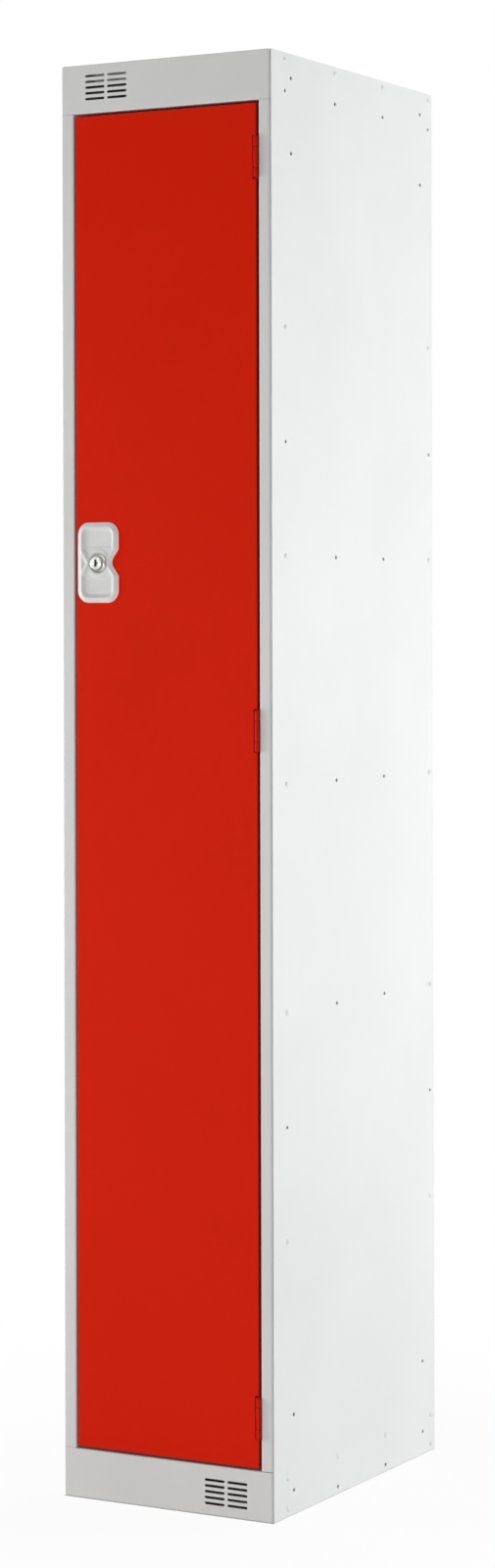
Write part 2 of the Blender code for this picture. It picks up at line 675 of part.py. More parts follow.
def lock_housing():
    """Sloping rim on the door, a tub through the door's cut-out, two dishes and the lock's boss."""
    rim_back = FRONT - CLEARANCE
    rim_front = rim_back - HOUSING_RIM_RISE
    rim = plate("lock_housing", housing_outline(0.0), HOUSING_RIM_RISE, HOUSING_PLASTIC)
    draw_in_front(rim, housing_outline(0.0), housing_outline(HOUSING_RIM_SLOPE))
    stand_up(rim, LOCK_X, rim_front, rim_back, LOCK_HEIGHT)
    tub_front = (rim_front + rim_back) / 2
    tub = plate("housing_tub", housing_outline(HOUSING_TUB_INSET), TUB_BACK - tub_front)
    stand_up(tub, LOCK_X, tub_front, TUB_BACK, LOCK_HEIGHT)
    dish_front = rim_front - HOUSING_RIM_RISE
    dish_back = FRONT + HOUSING_DISH_DEPTH
    dish = plate("housing_dish", dish_outline(), dish_back - dish_front)
    stand_up(dish, LOCK_X, dish_front, dish_back, LOCK_HEIGHT)
    boss_back = (dish_back + TUB_BACK) / 2
    boss = rod("housing_boss", (LOCK_X, (BOSS_FRONT + boss_back) / 2, LOCK_HEIGHT), "Y",
               BOSS_RADIUS, boss_back - BOSS_FRONT, LOCK_SIDES)
    bore = rod("housing_bore", (LOCK_X, FRONT, LOCK_HEIGHT), "Y",
               LOCK_BARREL_RADIUS + CLEARANCE, 4 * HOUSING_TUB_DEPTH, LOCK_SIDES)
    seat = rod("housing_seat", (LOCK_X, (dish_front + BOSS_FRONT) / 2, LOCK_HEIGHT), "Y",
               LOCK_RING_RADIUS + CLEARANCE, BOSS_FRONT - dish_front, LOCK_SIDES)
    combine(rim, tub, "UNION")
    combine(rim, dish)
    combine(rim, boss, "UNION")
    combine(rim, seat)
    combine(rim, bore)


def spindle_back():
    return STOP_BACK + CAM_GAP + CAM_SHEET - CLEARANCE


def lock_front_turn(piece):
    """Point a turned piece's local Z to the front, on the lock's axis."""
    piece.rotation_euler = (math.pi / 2, 0.0, 0.0)
    piece.location = (LOCK_X, 0.0, LOCK_HEIGHT)
    return piece


def plug_back():
    return STOP_BACK - CLEARANCE - FRAME_SHEET


def lock_body():
    """Threaded barrel with a base ring on the boss; its bore holds the plug."""
    ring_back = -(BOSS_FRONT - CLEARANCE)
    ring_front = ring_back + LOCK_RING_HEIGHT
    back = -(plug_back() - CLEARANCE)
    bore = PLUG_RADIUS + CLEARANCE
    profile = [(bore, ring_front), (LOCK_RING_RADIUS - LOCK_RING_HEIGHT / 3, ring_front),
               (LOCK_RING_RADIUS, ring_front - LOCK_RING_HEIGHT / 3), (LOCK_RING_RADIUS, ring_back),
               (LOCK_BARREL_RADIUS, ring_back), (LOCK_BARREL_RADIUS, back), (bore, back)]
    lock_front_turn(turned("lock_body", profile, LOCK_SIDES, NICKEL, closed=True))


def lock_nut():
    """Hexagon nut that clamps the housing from behind."""
    front = TUB_BACK + CLEARANCE
    hexagon = [(NUT_WIDTH / math.sqrt(3) * math.cos(math.pi / 3 * step),
                NUT_WIDTH / math.sqrt(3) * math.sin(math.pi / 3 * step)) for step in range(6)]
    nut = plate("lock_nut", hexagon, NUT_HEIGHT, ZINC_STEEL)
    stand_up(nut, LOCK_X, front, front + NUT_HEIGHT, LOCK_HEIGHT)
    bore = rod("lock_nut_bore", (LOCK_X, front, LOCK_HEIGHT), "Y",
               LOCK_BARREL_RADIUS + CLEARANCE, 4 * NUT_HEIGHT, LOCK_SIDES)
    combine(nut, bore)


def lock_plug(axis_empty):
    """Turning cylinder with a vertical keyway and a square spindle for the cam."""
    face = -(BOSS_FRONT - CLEARANCE) + LOCK_RING_HEIGHT + PLUG_PROUD
    back = -plug_back()
    chamfer = PLUG_RADIUS / 10
    profile = [(0.0, face), (PLUG_RADIUS - chamfer, face), (PLUG_RADIUS, face - chamfer),
               (PLUG_RADIUS, back), (0.0, back)]
    plug = turned("lock_plug", profile, LOCK_SIDES, NICKEL)
    half = SPINDLE_WIDTH / 2
    spindle = box("plug_spindle", (-half, -half, -spindle_back()), (half, half, back + CAM_SHEET))
    keyway = box("plug_keyway", (-KEYWAY_WIDTH / 2, -KEYWAY_HEIGHT / 2, face - KEYWAY_DEPTH),
                 (KEYWAY_WIDTH / 2, KEYWAY_HEIGHT / 2, face + KEYWAY_WIDTH))
    thread = rod("plug_thread", (0.0, 0.0, -spindle_back()), "Z", SCREW_RADIUS + CLEARANCE,
                 2 * (SCREW_LENGTH + CLEARANCE), HOLE_SIDES)
    for piece in (plug, spindle, keyway, thread):
        lock_front_turn(piece)
    combine(plug, spindle, "UNION")
    combine(plug, keyway)
    combine(plug, thread)
    on_axis(plug, axis_empty)


def lock_cam(axis_empty):
    """Flat cam, hanging down when unlocked; it turns to the left behind the post's stop flange."""
    front = STOP_BACK + CAM_GAP
    half = CAM_WIDTH / 2
    outline = rounded_outline([(-half, -CAM_REACH, half / 2), (half, -CAM_REACH, half / 2),
                               (half, half, half / 2), (-half, half, half / 2)])
    cam = plate("lock_cam", outline, CAM_SHEET, ZINC_STEEL)
    stand_up(cam, LOCK_X, front, front + CAM_SHEET, LOCK_HEIGHT)
    hole = SPINDLE_WIDTH / 2 + CLEARANCE
    square = box("cam_hole", (LOCK_X - hole, front - CAM_SHEET, LOCK_HEIGHT - hole),
                 (LOCK_X + hole, front + 2 * CAM_SHEET, LOCK_HEIGHT + hole))
    combine(cam, square)
    on_axis(cam, axis_empty)


def cam_screw(axis_empty):
    head_front = -(STOP_BACK + CAM_GAP + CAM_SHEET + CLEARANCE)
    head_back = head_front - SCREW_HEAD_HEIGHT
    tip = -spindle_back() + SCREW_LENGTH
    profile = [(0.0, tip), (SCREW_RADIUS, tip), (SCREW_RADIUS, head_front),
               (SCREW_HEAD_RADIUS, head_front), (SCREW_HEAD_RADIUS, head_back + SCREW_HEAD_HEIGHT / 3),
               (SCREW_HEAD_RADIUS * 0.8, head_back), (0.0, head_back)]
    screw = lock_front_turn(turned("cam_screw", profile, 12, ZINC_STEEL))
    on_axis(screw, axis_empty)


def door_skin():
    """Door pan: front sheet, four returns and a lip round the open back."""
    skin = box("door_skin", (DOOR_LEFT, FRONT, DOOR_BOTTOM), (DOOR_RIGHT, DOOR_BACK, DOOR_TOP), RED_PAINT)
    hollow = box("door_hollow",
                 (DOOR_LEFT + DOOR_SHEET, FRONT + DOOR_SHEET, DOOR_BOTTOM + DOOR_SHEET),
                 (DOOR_RIGHT - DOOR_SHEET, DOOR_BACK - DOOR_SHEET, DOOR_TOP - DOOR_SHEET))
    opening = box("door_mouth",
                  (DOOR_LEFT + DOOR_LIP, FRONT + DOOR_PAN_DEPTH / 2, DOOR_BOTTOM + DOOR_LIP),
                  (DOOR_RIGHT - DOOR_LIP, DOOR_BACK + DOOR_SHEET, DOOR_TOP - DOOR_LIP))
    cut_out = plate("door_lock_cut_out", housing_outline(HOUSING_TUB_INSET - CLEARANCE), 4 * DOOR_SHEET)
    stand_up(cut_out, LOCK_X, FRONT - 2 * DOOR_SHEET, FRONT + 2 * DOOR_SHEET, LOCK_HEIGHT)
    for cutter in (hollow, opening, cut_out, hinge_notches()):
        combine(skin, cutter)
    return skin


def hinge_notches():
    """One cutter for the notches in the door's edge that clear the hinge barrels."""
    reach = HINGE_RADIUS + CLEARANCE
    back = max(HINGE_Y + reach, FRONT + DOOR_SHEET) + CLEARANCE
    half = HINGE_HEIGHT / 2 + HINGE_PIN_HEAD + 3 * CLEARANCE
    bm = bmesh.new()
    for height in HINGE_PLACES.values():
        add_box(bm, (HINGE_X - HINGE_NOTCH_REACH, HINGE_Y - reach, height - half),
                (HINGE_X + reach, back, height + half))
    return mesh_object("hinge_notches", bm)


def door_stiffener():
    """Channel along the middle of the door, open towards the front sheet."""
    front = FRONT + DOOR_SHEET + CLEARANCE
    bottom = DOOR_BOTTOM + DOOR_SHEET + CLEARANCE
    top = DOOR_TOP - DOOR_SHEET - CLEARANCE
    half = STIFFENER_WIDTH / 2
    channel = box("door_stiffener", (-half, front, bottom), (half, front + STIFFENER_DEPTH, top), ZINC_STEEL)
    hollow = box("stiffener_hollow", (-half + DOOR_SHEET, front - DOOR_SHEET, bottom - DOOR_SHEET),
                 (half - DOOR_SHEET, front + STIFFENER_DEPTH - DOOR_SHEET, top + DOOR_SHEET))
    combine(channel, hollow)
    return channel


def knuckle_spans():
    """Lower and upper end of the short knuckles and of the long one, about the hinge's middle."""
    half = HINGE_HEIGHT / 2
    middle = HINGE_MIDDLE_KNUCKLE / 2
    return {"frame": [(-half, -middle - CLEARANCE), (middle + CLEARANCE, half)],
            "door": [(-middle, middle)]}


def hinge_leaf(name, spans, leaf_low, leaf_high, height):
    """Leaf in the gap beside the door, with its knuckles rolled round the pin."""
    half = HINGE_HEIGHT / 2
    root = HINGE_RADIUS + CLEARANCE
    leaf = box(name, (leaf_low, root, -half), (leaf_high, HINGE_LEAF_DEPTH, half), RED_PAINT)
    bm = bmesh.new()
    neck = bmesh.new()
    for low, high in spans:
        add_rod(bm, (0.0, 0.0, (low + high) / 2), "Z", HINGE_RADIUS, high - low, HINGE_SIDES)
        add_box(neck, (leaf_low, HINGE_PIN_RADIUS, low), (leaf_high, root + HINGE_RADIUS, high))
    knuckles = mesh_object(f"{name}_knuckles", bm)
    necks = mesh_object(f"{name}_necks", neck)
    bore = rod(f"{name}_bore", (0.0, 0.0, 0.0), "Z", HINGE_PIN_RADIUS + CLEARANCE, 2 * HINGE_HEIGHT,
               HINGE_SIDES)
    for piece in (leaf, knuckles, necks, bore):
        piece.location = (HINGE_X, HINGE_Y, height)
    combine(leaf, necks, "UNION")
    combine(leaf, knuckles, "UNION")
    combine(leaf, bore)
    return leaf


def hinge_pin(name, height):
    half = HINGE_HEIGHT / 2 + CLEARANCE
    end = half + HINGE_PIN_HEAD
    profile = [(0.0, end), (HINGE_PIN_HEAD_RADIUS * 0.8, end), (HINGE_PIN_HEAD_RADIUS, half),
               (HINGE_PIN_RADIUS, half), (HINGE_PIN_RADIUS, -half), (HINGE_PIN_HEAD_RADIUS, -half),
               (HINGE_PIN_HEAD_RADIUS * 0.8, -end), (0.0, -end)]
    pin = turned(name, profile, HINGE_SIDES, RED_PAINT)
    pin.location = (HINGE_X, HINGE_Y, height)


def hinges(door_axis):
    spans = knuckle_spans()
    jamb = OPENING_RIGHT - CLEARANCE - HINGE_X
    door_edge = DOOR_RIGHT + CLEARANCE - HINGE_X
    for place, height in HINGE_PLACES.items():
        hinge_leaf(f"hinge_leaf_frame_{place}", spans["frame"], jamb - HINGE_LEAF_SHEET, jamb, height)
        moving = hinge_leaf(f"hinge_leaf_door_{place}", spans["door"], door_edge,
                            door_edge + HINGE_LEAF_SHEET, height)
        hinge_pin(f"hinge_pin_{place}", height)
        on_axis(moving, door_axis)


def axis_empty(name, location):
    empty = bpy.data.objects.new(name, None)
    empty.location = location
    LOCKER.objects.link(empty)
    return empty


def on_axis(piece, empty):
    """Parent a piece to its joint's empty and leave it where it is."""
    piece.parent = empty
    bpy.context.view_layer.update()
    piece.matrix_parent_inverse = empty.matrix_world.inverted()


def build_carcass():
    drillings = side_drillings()
    vents = vent_slots()
    hook_holes = coat_hook_holes()
    stud_holes = buffer_stud_holes()
    side_panels(drillings)
    back_panel(drillings)
    top_and_base_panels(drillings)
    frame_ends(drillings, vents)
    frame_posts(drillings, stud_holes)
    hat_shelf(drillings, hook_holes)
    coat_hook(hook_holes)
    hook_rivets()
    side_rivets()
    door_buffers()


def build_door():
    door_axis = axis_empty("door_axis", (HINGE_X, HINGE_Y, DOOR_MIDDLE))
    for piece in (door_skin(), door_stiffener()):
        on_axis(piece, door_axis)
    hinges(door_axis)
    lock_housing()
    lock_body()
    lock_nut()
    for name in ("lock_housing", "lock_body", "lock_nut"):
        on_axis(LOCKER.objects[name], door_axis)
    lock_axis = axis_empty("lock_axis", (LOCK_X, FRONT, LOCK_HEIGHT))
    on_axis(lock_axis, door_axis)
    lock_plug(lock_axis)
    lock_cam(lock_axis)
    cam_screw(lock_axis)


build_carcass()
build_door()
bpy.context.view_layer.update()
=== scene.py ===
"""Finished look of a single-door steel locker: painted folded sheet, rivets, hinges and a cylinder lock.

Metres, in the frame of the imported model: +Z up, front towards -Y, hinges on +X.
"""

import json
import math

import bmesh
import bpy
import numpy as np
from mathutils import Matrix, Vector
from mathutils.geometry import delaunay_2d_cdt


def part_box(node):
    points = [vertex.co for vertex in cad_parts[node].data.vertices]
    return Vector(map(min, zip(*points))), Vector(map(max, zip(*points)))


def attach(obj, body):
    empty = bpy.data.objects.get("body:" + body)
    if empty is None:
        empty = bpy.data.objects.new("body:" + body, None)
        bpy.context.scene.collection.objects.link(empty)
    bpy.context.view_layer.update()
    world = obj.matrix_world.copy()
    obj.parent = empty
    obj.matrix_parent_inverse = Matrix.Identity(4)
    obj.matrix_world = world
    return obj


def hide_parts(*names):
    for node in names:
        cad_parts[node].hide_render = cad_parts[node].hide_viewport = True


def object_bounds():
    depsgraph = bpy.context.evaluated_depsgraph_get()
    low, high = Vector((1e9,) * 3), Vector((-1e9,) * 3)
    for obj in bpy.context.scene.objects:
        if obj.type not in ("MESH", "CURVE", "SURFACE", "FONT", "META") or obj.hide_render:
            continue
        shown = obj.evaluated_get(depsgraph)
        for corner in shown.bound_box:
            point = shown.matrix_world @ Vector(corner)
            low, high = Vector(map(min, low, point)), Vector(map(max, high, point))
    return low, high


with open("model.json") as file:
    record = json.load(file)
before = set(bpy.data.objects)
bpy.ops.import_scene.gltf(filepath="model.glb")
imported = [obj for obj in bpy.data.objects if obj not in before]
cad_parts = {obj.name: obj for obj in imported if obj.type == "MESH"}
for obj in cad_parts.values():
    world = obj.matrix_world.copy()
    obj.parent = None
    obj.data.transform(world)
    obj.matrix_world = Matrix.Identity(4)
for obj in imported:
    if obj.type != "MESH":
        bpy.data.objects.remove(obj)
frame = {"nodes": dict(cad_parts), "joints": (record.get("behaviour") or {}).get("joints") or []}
CAD_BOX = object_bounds()
MM = 0.001

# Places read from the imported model
SIDE_LOW, SIDE_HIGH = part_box("side_panel_right")
HEADER_LOW, HEADER_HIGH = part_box("frame_header")
LEFT_POST_LOW, LEFT_POST_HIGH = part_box("frame_post_left")
RIGHT_POST_LOW, RIGHT_POST_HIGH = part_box("frame_post_right")
BACK_LOW, BACK_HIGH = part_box("back_panel")
DOOR_LOW, DOOR_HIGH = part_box("door_skin")
STIFFENER_LOW, STIFFENER_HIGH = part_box("door_stiffener")
HOUSING_LOW, HOUSING_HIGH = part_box("lock_housing")
SHELF_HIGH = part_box("hat_shelf")[1]
HOOK_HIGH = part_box("coat_hook")[1]
FRONT = DOOR_LOW.y
SIDE = SIDE_HIGH.x
REAR = SIDE_HIGH.y
HEIGHT = SIDE_HIGH.z
JOINTS = {joint["name"]: joint for joint in frame["joints"]}
HINGE_AXIS = Vector(JOINTS["door_hinge"]["pos_m"])
LOCK_AXIS = Vector(JOINTS["lock_turn"]["pos_m"])

# Sheet and bends
PANEL_SHEET = SIDE_HIGH.x - SIDE_LOW.x
FRAME_SHEET = 1.0 * MM
DOOR_SHEET = 1.0 * MM
PAINT_BEND = 1.2 * MM
PANEL_BEND = 1.2 * MM
POST_BEND = 2.0 * MM
POST_SEAM = 0.5 * MM
SEAT_GAP = 0.3 * MM
CUT_MARGIN = 5 * MM

# Fineness and limits of the shapes
BEND_STEPS = 6
FILLET_SHARE = 0.49
MITRE_LIMIT = 0.3
MERGE_DISTANCE = 0.01 * MM
NEGLIGIBLE = 1e-7
LEVEL = 1e-12

# Front frame
FRAME_RETURN = 25 * MM
FRAME_FLANGE = HEADER_HIGH.y - HEADER_LOW.y
STOP_FLANGE = 12 * MM
OPENING_LEFT = LEFT_POST_HIGH.x - STOP_FLANGE
OPENING_RIGHT = RIGHT_POST_LOW.x + STOP_FLANGE
STOP_FRONT = FRONT + 25 * MM

# Ventilation fields
VENT_ROWS = 5
VENT_COLUMNS = 2
VENT_ROW_PITCH = 7.2 * MM
VENT_SLOT_LENGTH = 28 * MM
VENT_SLOT_HEIGHT = 3.2 * MM
VENT_SLOT_WEB = 4 * MM
VENT_OFFSET = 84 * MM
VENT_EDGE = 29 * MM
VENT_CUT_DEPTH = 6 * FRAME_SHEET
VENT_END_SHARE = 0.499

# Rivets and open holes in the sides
RIVET_RADIUS = 3.5 * MM
RIVET_HEIGHT = 1.7 * MM
RIVET_DIMPLE_RADIUS = 1.1 * MM
RIVET_DIMPLE_DEPTH = 0.5 * MM
RIVET_DIMPLE_TAPER = 0.7
RIVET_TAIL_SWELL = 0.75
RIVET_DOME_DEGREES = (0, 12, 28, 46, 64)
RIVET_SIDES = 20
HOLE_RADIUS = 2.3 * MM
HOLE_SIDES = 20
HOLE_DEPTH = 12 * MM
LINK_HOLE_FRONT = 54 * MM
LINK_HOLE_REAR = 36 * MM
LINK_HOLE_ENDS = (30 * MM, 123 * MM)
END_ROW = 9 * MM

# Coat hook and door buffers
HOOK_PLATE = 2.0 * MM
HOOK_PLATE_LENGTH = 60 * MM
HOOK_PLATE_WIDTH = 20 * MM
HOOK_PLATE_CORNER = 5 * MM
HOOK_WIRE_RADIUS = 2.5 * MM
HOOK_DROP = 55 * MM
HOOK_REACH = 34 * MM
HOOK_LIFT = 26 * MM
HOOK_TIP_RADIUS = 1.5 * HOOK_WIRE_RADIUS
HOOK_BEND_STEPS = 20
BUFFER_RADIUS = 5 * MM
BUFFER_STUD_RADIUS = 2 * MM
BUFFER_ROUND = 1.5 * MM
BUFFER_CHAMFER = 0.3 * MM

# Door
DOOR_LIP = 15 * MM

# Hinges
HINGE_NAMES = ("top", "middle", "bottom")
HINGE_RADIUS = 2.9 * MM
HINGE_PIN_RADIUS = 1.4 * MM
HINGE_LEAF_SHEET = 1.0 * MM
HINGE_HALF = 24.75 * MM
HINGE_MIDDLE_KNUCKLE = 25 * MM
HINGE_GAP = 0.3 * MM
KNUCKLE_GAP = 0.9 * MM
KNUCKLE_ROUND = 0.4 * MM
HINGE_NOTCH_REACH = 5.7 * MM

# Lock housing, measured from the lock's axis
HOUSING_CORNER = 15.5 * MM
HOUSING_RISE = 0.75 * MM
HOUSING_RIM = FRONT - HOUSING_LOW.y
HOUSING_WALL = 2.0 * MM
HOUSING_CLEARANCE = 0.05 * MM
HOUSING_CUT_INSET = 3.2 * MM
RIM_EDGE = 0.8 * MM
RIM_SLOPE = 6.0 * MM
RIM_RINGS = (0.3 * MM, 0.9 * MM, 1.6 * MM)
RIM_CLEARANCE = 2.0 * MM
OUTLINE_SPACING = 1.2 * MM
WAIST_DEPTH = 11.5 * MM
WAIST_HALF_HEIGHT = 16.5 * MM
WAIST_ROUND = 10 * MM
WAIST_SHOULDER = 6 * MM
DISH_INSET = 6.2 * MM
DISH_CORNER = 9 * MM
DISH_RIB = 10.5 * MM
DISH_FLOOR = 0.5 * MM
DISH_SLOPE = 3.8 * MM
PANEL_EDGE = 20 * MM
PANEL_SINK = 0.4 * MM
CREST_ROUND = 0.7 * MM
RIB_POCKET_REACH = 11 * MM
RIB_POCKET_HALF_HEIGHT = 11 * MM
RIB_POCKET_DEPTH = 2.4 * MM
RIM_FALL = 0.9
RIB_FALL = 0.5
BOSS_RADIUS = 15.5 * MM
BOSS_SLOPE = 4.0 * MM
BOSS_RISE = 1.2 * MM
LOCK_SEAT_RADIUS = 13.4 * MM
LOCK_SEAT = -0.9 * MM
LOCK_SEAT_WALL = 0.05 * MM
LOCK_SEAT_SIDES = 72
HOUSING_GRID = 0.6 * MM

# Cylinder lock
BARREL_RADIUS = 10 * MM
RING_RADIUS = 12.2 * MM
RING_FLAT_RADIUS = 9.6 * MM
RING_ROUND = 0.4 * MM
RING_LIP = 0.3 * MM
RING_LIP_TOP = 1.2 * MM
RING_LIP_FOOT = 0.7 * MM
PLUG_RADIUS = 8 * MM
PLUG_ROUND = 0.9 * MM
KEYWAY_WIDTH = 3.5 * MM
KEYWAY_HEIGHT = 9.2 * MM
KEYWAY_DEPTH = 12 * MM
KEYWAY_ROUND = 0.9 * MM
WARD_HEIGHT = 1.6 * MM
WARD_ROUND = 0.3 * MM
# A black block set in the keyway is painted shade for the dark depth of the keyway.
KEYWAY_SHADE_DEPTH = 1.2 * MM
KEYWAY_SHADE_HALF_HEIGHT = 0.6 * KEYWAY_HEIGHT
FACE_DISH = 0.3 * MM
FACE_DISH_RADIUS = 0.62 * PLUG_RADIUS
FACE_RIM_RADIUS = 0.70 * PLUG_RADIUS
THREAD_DEPTH = 0.4 * MM
THREAD_STEP = 0.5 * MM
THREAD_RUNOUT = 6
NUT_CORNER_SHARE = 1.02
NUT_FACE_SHARE = 0.96
NUT_CHAMFER_DEGREES = 30
SPINDLE_WIDTH = 8 * MM
SPINDLE_ROUND = 0.3 * MM
CAM_TIP_SHARE = 0.55
CAM_HEAD_SHARE = 0.7
CAM_BEVEL = 0.3 * MM
SCREW_RADIUS = 2.0 * MM
SCREW_CHAMFER = 0.4 * MM
SCREW_FLANGE = 0.8 * MM
FLANGE_CHAMFER = 0.3 * MM
SCREW_HEAD_SHARE = 1.45
SCREW_HEAD_ROUND = 0.4 * MM
CROSS_ARM_SHARE = 0.42
CROSS_WIDTH = 0.9 * MM
CROSS_DEPTH = 1.0 * MM

# Camera, from the perspective of the photograph, in pixels of its 505 x 1600 frame
FRAME_PIXELS = 1600
FOCAL_PIXELS = 3621.3
SENSOR_WIDTH = 36.0
HORIZON_PIXEL = 635.7
CAMERA_PLACE = Vector((2.2171, -4.0272, 1.0987))
CAMERA_YAW = 0.50465
CAMERA_ROLL = -0.00227

# Stage
WHITE = (1.0, 1.0, 1.0, 1.0)
FLOOR_COLOUR = (0.93, 0.93, 0.93, 1.0)
FLOOR_SIZE = 14.0
FLOOR_GAP = 0.2 * MM
FOOT_MARGIN = 0.5 * MM
SHADOW_REACH = 0.8
FLOOR_GLOW = 0.93
WORLD_LIGHT = 0.28

# Textures
NOISE_LOW = 0.3
NOISE_HIGH = 0.7
EDGE_STARTS = 0.98
EDGE_FULL = 0.80
MIX_FIRST_COLOUR = 6
MIX_SECOND_COLOUR = 7
MIX_COLOUR = 2


def srgb(red, green, blue):
    """Linear colour of an 8-bit screen colour."""
    def channel(value):
        value /= 255
        return value / 12.92 if value <= 0.04045 else ((value + 0.055) / 1.055) ** 2.4
    return (channel(red), channel(green), channel(blue), 1.0)


# Finishes


def add_node(tree, kind, links, **properties):
    """Add a node to a tree; a link's value is another node's socket or a constant."""
    node = tree.nodes.new(kind)
    for key, value in properties.items():
        setattr(node, key, value)
    for socket, value in links.items():
        if isinstance(value, bpy.types.NodeSocket):
            tree.links.new(value, node.inputs[socket])
        else:
            node.inputs[socket].default_value = value
    return node.outputs


class Finish:
    """A node material on Object coordinates, with short calls for its textures."""

    def __init__(self, name, **values):
        self.material = bpy.data.materials.new(name)
        self.material.use_nodes = True
        self.tree = self.material.node_tree
        self.shader = self.tree.nodes["Principled BSDF"]
        for socket, value in values.items():
            self.shader.inputs[socket.replace("_", " ")].default_value = value
        self.place = self.node("ShaderNodeTexCoord", {})["Object"]
        self.normal = None

    def node(self, kind, links, **properties):
        return add_node(self.tree, kind, links, **properties)

    def link(self, source, socket):
        self.tree.links.new(source, self.shader.inputs[socket])

    def noise(self, scale, detail=2.0, stretch=(1.0, 1.0, 1.0)):
        place = self.node("ShaderNodeMapping", {"Vector": self.place, "Scale": stretch})["Vector"]
        return self.node("ShaderNodeTexNoise", {"Vector": place, "Scale": scale, "Detail": detail})["Fac"]

    def spread(self, noise, low=0.0, high=1.0):
        """Map the middle of a noise to a range."""
        return self.node("ShaderNodeMapRange", {
            "Value": noise, "From Min": NOISE_LOW, "From Max": NOISE_HIGH, "To Min": low,
            "To Max": high})["Result"]

    def blend_colours(self, factor, first, second):
        links = {"Factor": factor, MIX_FIRST_COLOUR: first, MIX_SECOND_COLOUR: second}
        return self.node("ShaderNodeMix", links, data_type="RGBA")[MIX_COLOUR]

    def painted_edge_mask(self, radius):
        """One along the edges of a piece and nought on its flats, for painting light and shade on the edges.
        """
        rounded = self.node("ShaderNodeBevel", {"Radius": radius}, samples=4)["Normal"]
        flat = self.node("ShaderNodeNewGeometry", {})["Normal"]
        likeness = self.node("ShaderNodeVectorMath", {0: rounded, 1: flat}, operation="DOT_PRODUCT")["Value"]
        return self.node("ShaderNodeMapRange", {
            "Value": likeness, "From Min": EDGE_STARTS, "From Max": EDGE_FULL})["Result"]

    def bump(self, height, strength, distance):
        """Add a bump to those before it."""
        links = {"Height": height, "Strength": strength, "Distance": distance}
        if self.normal is not None:
            links["Normal"] = self.normal
        self.normal = self.node("ShaderNodeBump", links)["Normal"]
        self.link(self.normal, "Normal")


def tinted(colour, factor):
    return (*(min(1.0, channel * factor) for channel in colour[:3]), 1.0)


def powder_coat(name, colour, roughness, specular, edge):
    """Satin powder coat: orange peel, a faint cloud in the colour, and its edge colour painted on the edges:
    lighter than the coat as a painted highlight, darker as painted shade.
    """
    finish = Finish(name, Specular_IOR_Level=specular)
    cloud = finish.spread(finish.noise(scale=5.0, detail=3.0))
    field = finish.blend_colours(cloud, tinted(colour, 0.975), tinted(colour, 1.02))
    # Painted light and shade: the edge colour is laid along every edge of the piece.
    finish.link(finish.blend_colours(finish.painted_edge_mask(radius=0.8 * MM), field, edge), "Base Color")
    finish.link(finish.spread(finish.noise(scale=140.0), roughness - 0.05, roughness + 0.05), "Roughness")
    finish.bump(finish.noise(scale=9.0, detail=1.0), strength=0.10, distance=1.5 * MM)
    finish.bump(finish.noise(scale=700.0, detail=1.0), strength=0.12, distance=0.06 * MM)
    return finish.material


def moulded_plastic(name, colour):
    """Satin moulding with a fine spark-eroded grain, faint flow clouds and a painted highlight along its
    edges.
    """
    finish = Finish(name, Specular_IOR_Level=0.45)
    cloud = finish.spread(finish.noise(scale=45.0, detail=3.0))
    field = finish.blend_colours(cloud, tinted(colour, 0.96), tinted(colour, 1.03))
    # Painted highlight: the edges are painted a lighter tone than the moulding.
    edges = finish.painted_edge_mask(radius=0.5 * MM)
    finish.link(finish.blend_colours(edges, field, tinted(colour, 1.12)), "Base Color")
    finish.link(finish.spread(finish.noise(scale=900.0), low=0.34, high=0.46), "Roughness")
    finish.bump(finish.noise(scale=2600.0), strength=0.25, distance=0.03 * MM)
    return finish.material


def plated_metal(name, colour, dull, roughness, brush):
    """Plated metal: drawn lines along one axis, cloudy plate and dull spots."""
    finish = Finish(name, Metallic=1.0)
    cloud = finish.spread(finish.noise(scale=160.0, detail=4.0))
    finish.link(finish.blend_colours(cloud, dull, colour), "Base Color")
    lines = finish.noise(scale=300.0, detail=3.0, stretch=brush)
    finish.link(finish.spread(lines, roughness - 0.07, roughness + 0.08), "Roughness")
    finish.bump(lines, strength=0.12, distance=0.02 * MM)
    finish.bump(finish.noise(scale=700.0), strength=0.08, distance=0.03 * MM)
    return finish.material


def soft_rubber(name, colour, bloom):
    """Matt rubber with a grey bloom and a fine moulded grain."""
    finish = Finish(name, Specular_IOR_Level=0.3)
    cloud = finish.spread(finish.noise(scale=220.0, detail=4.0), high=0.6)
    finish.link(finish.blend_colours(cloud, colour, bloom), "Base Color")
    finish.link(finish.spread(finish.noise(scale=800.0), low=0.72, high=0.88), "Roughness")
    finish.bump(finish.noise(scale=1800.0), strength=0.3, distance=0.05 * MM)
    return finish.material


# The last colour of each powder coat is painted along its edges: lighter on the white and grey as a painted
# highlight, darker on the red as painted shade.
FINISHES = {
    "white_paint": powder_coat("white_powder_coat", srgb(237, 238, 238), 0.46, 0.35, srgb(243, 243, 242)),
    "grey_paint": powder_coat("grey_powder_coat", srgb(199, 200, 198), 0.44, 0.35, srgb(208, 209, 206)),
    "red_paint": powder_coat("red_powder_coat", srgb(199, 27, 3), 0.44, 0.05, srgb(188, 24, 5)),
    "housing_plastic": moulded_plastic("grey_housing_plastic", srgb(202, 203, 201)),
    "nickel": plated_metal("bright_nickel", (0.80, 0.79, 0.76, 1.0), (0.66, 0.65, 0.62, 1.0), 0.20,
                           (1.0, 1.0, 0.12)),
    "zinc_steel": plated_metal("zinc_plate", (0.66, 0.67, 0.69, 1.0), (0.50, 0.51, 0.52, 1.0), 0.38,
                               (1.0, 1.0, 0.06)),
    "black_rubber": soft_rubber("black_rubber", (0.018, 0.018, 0.018, 1.0), (0.05, 0.05, 0.052, 1.0)),
}


# Shapes


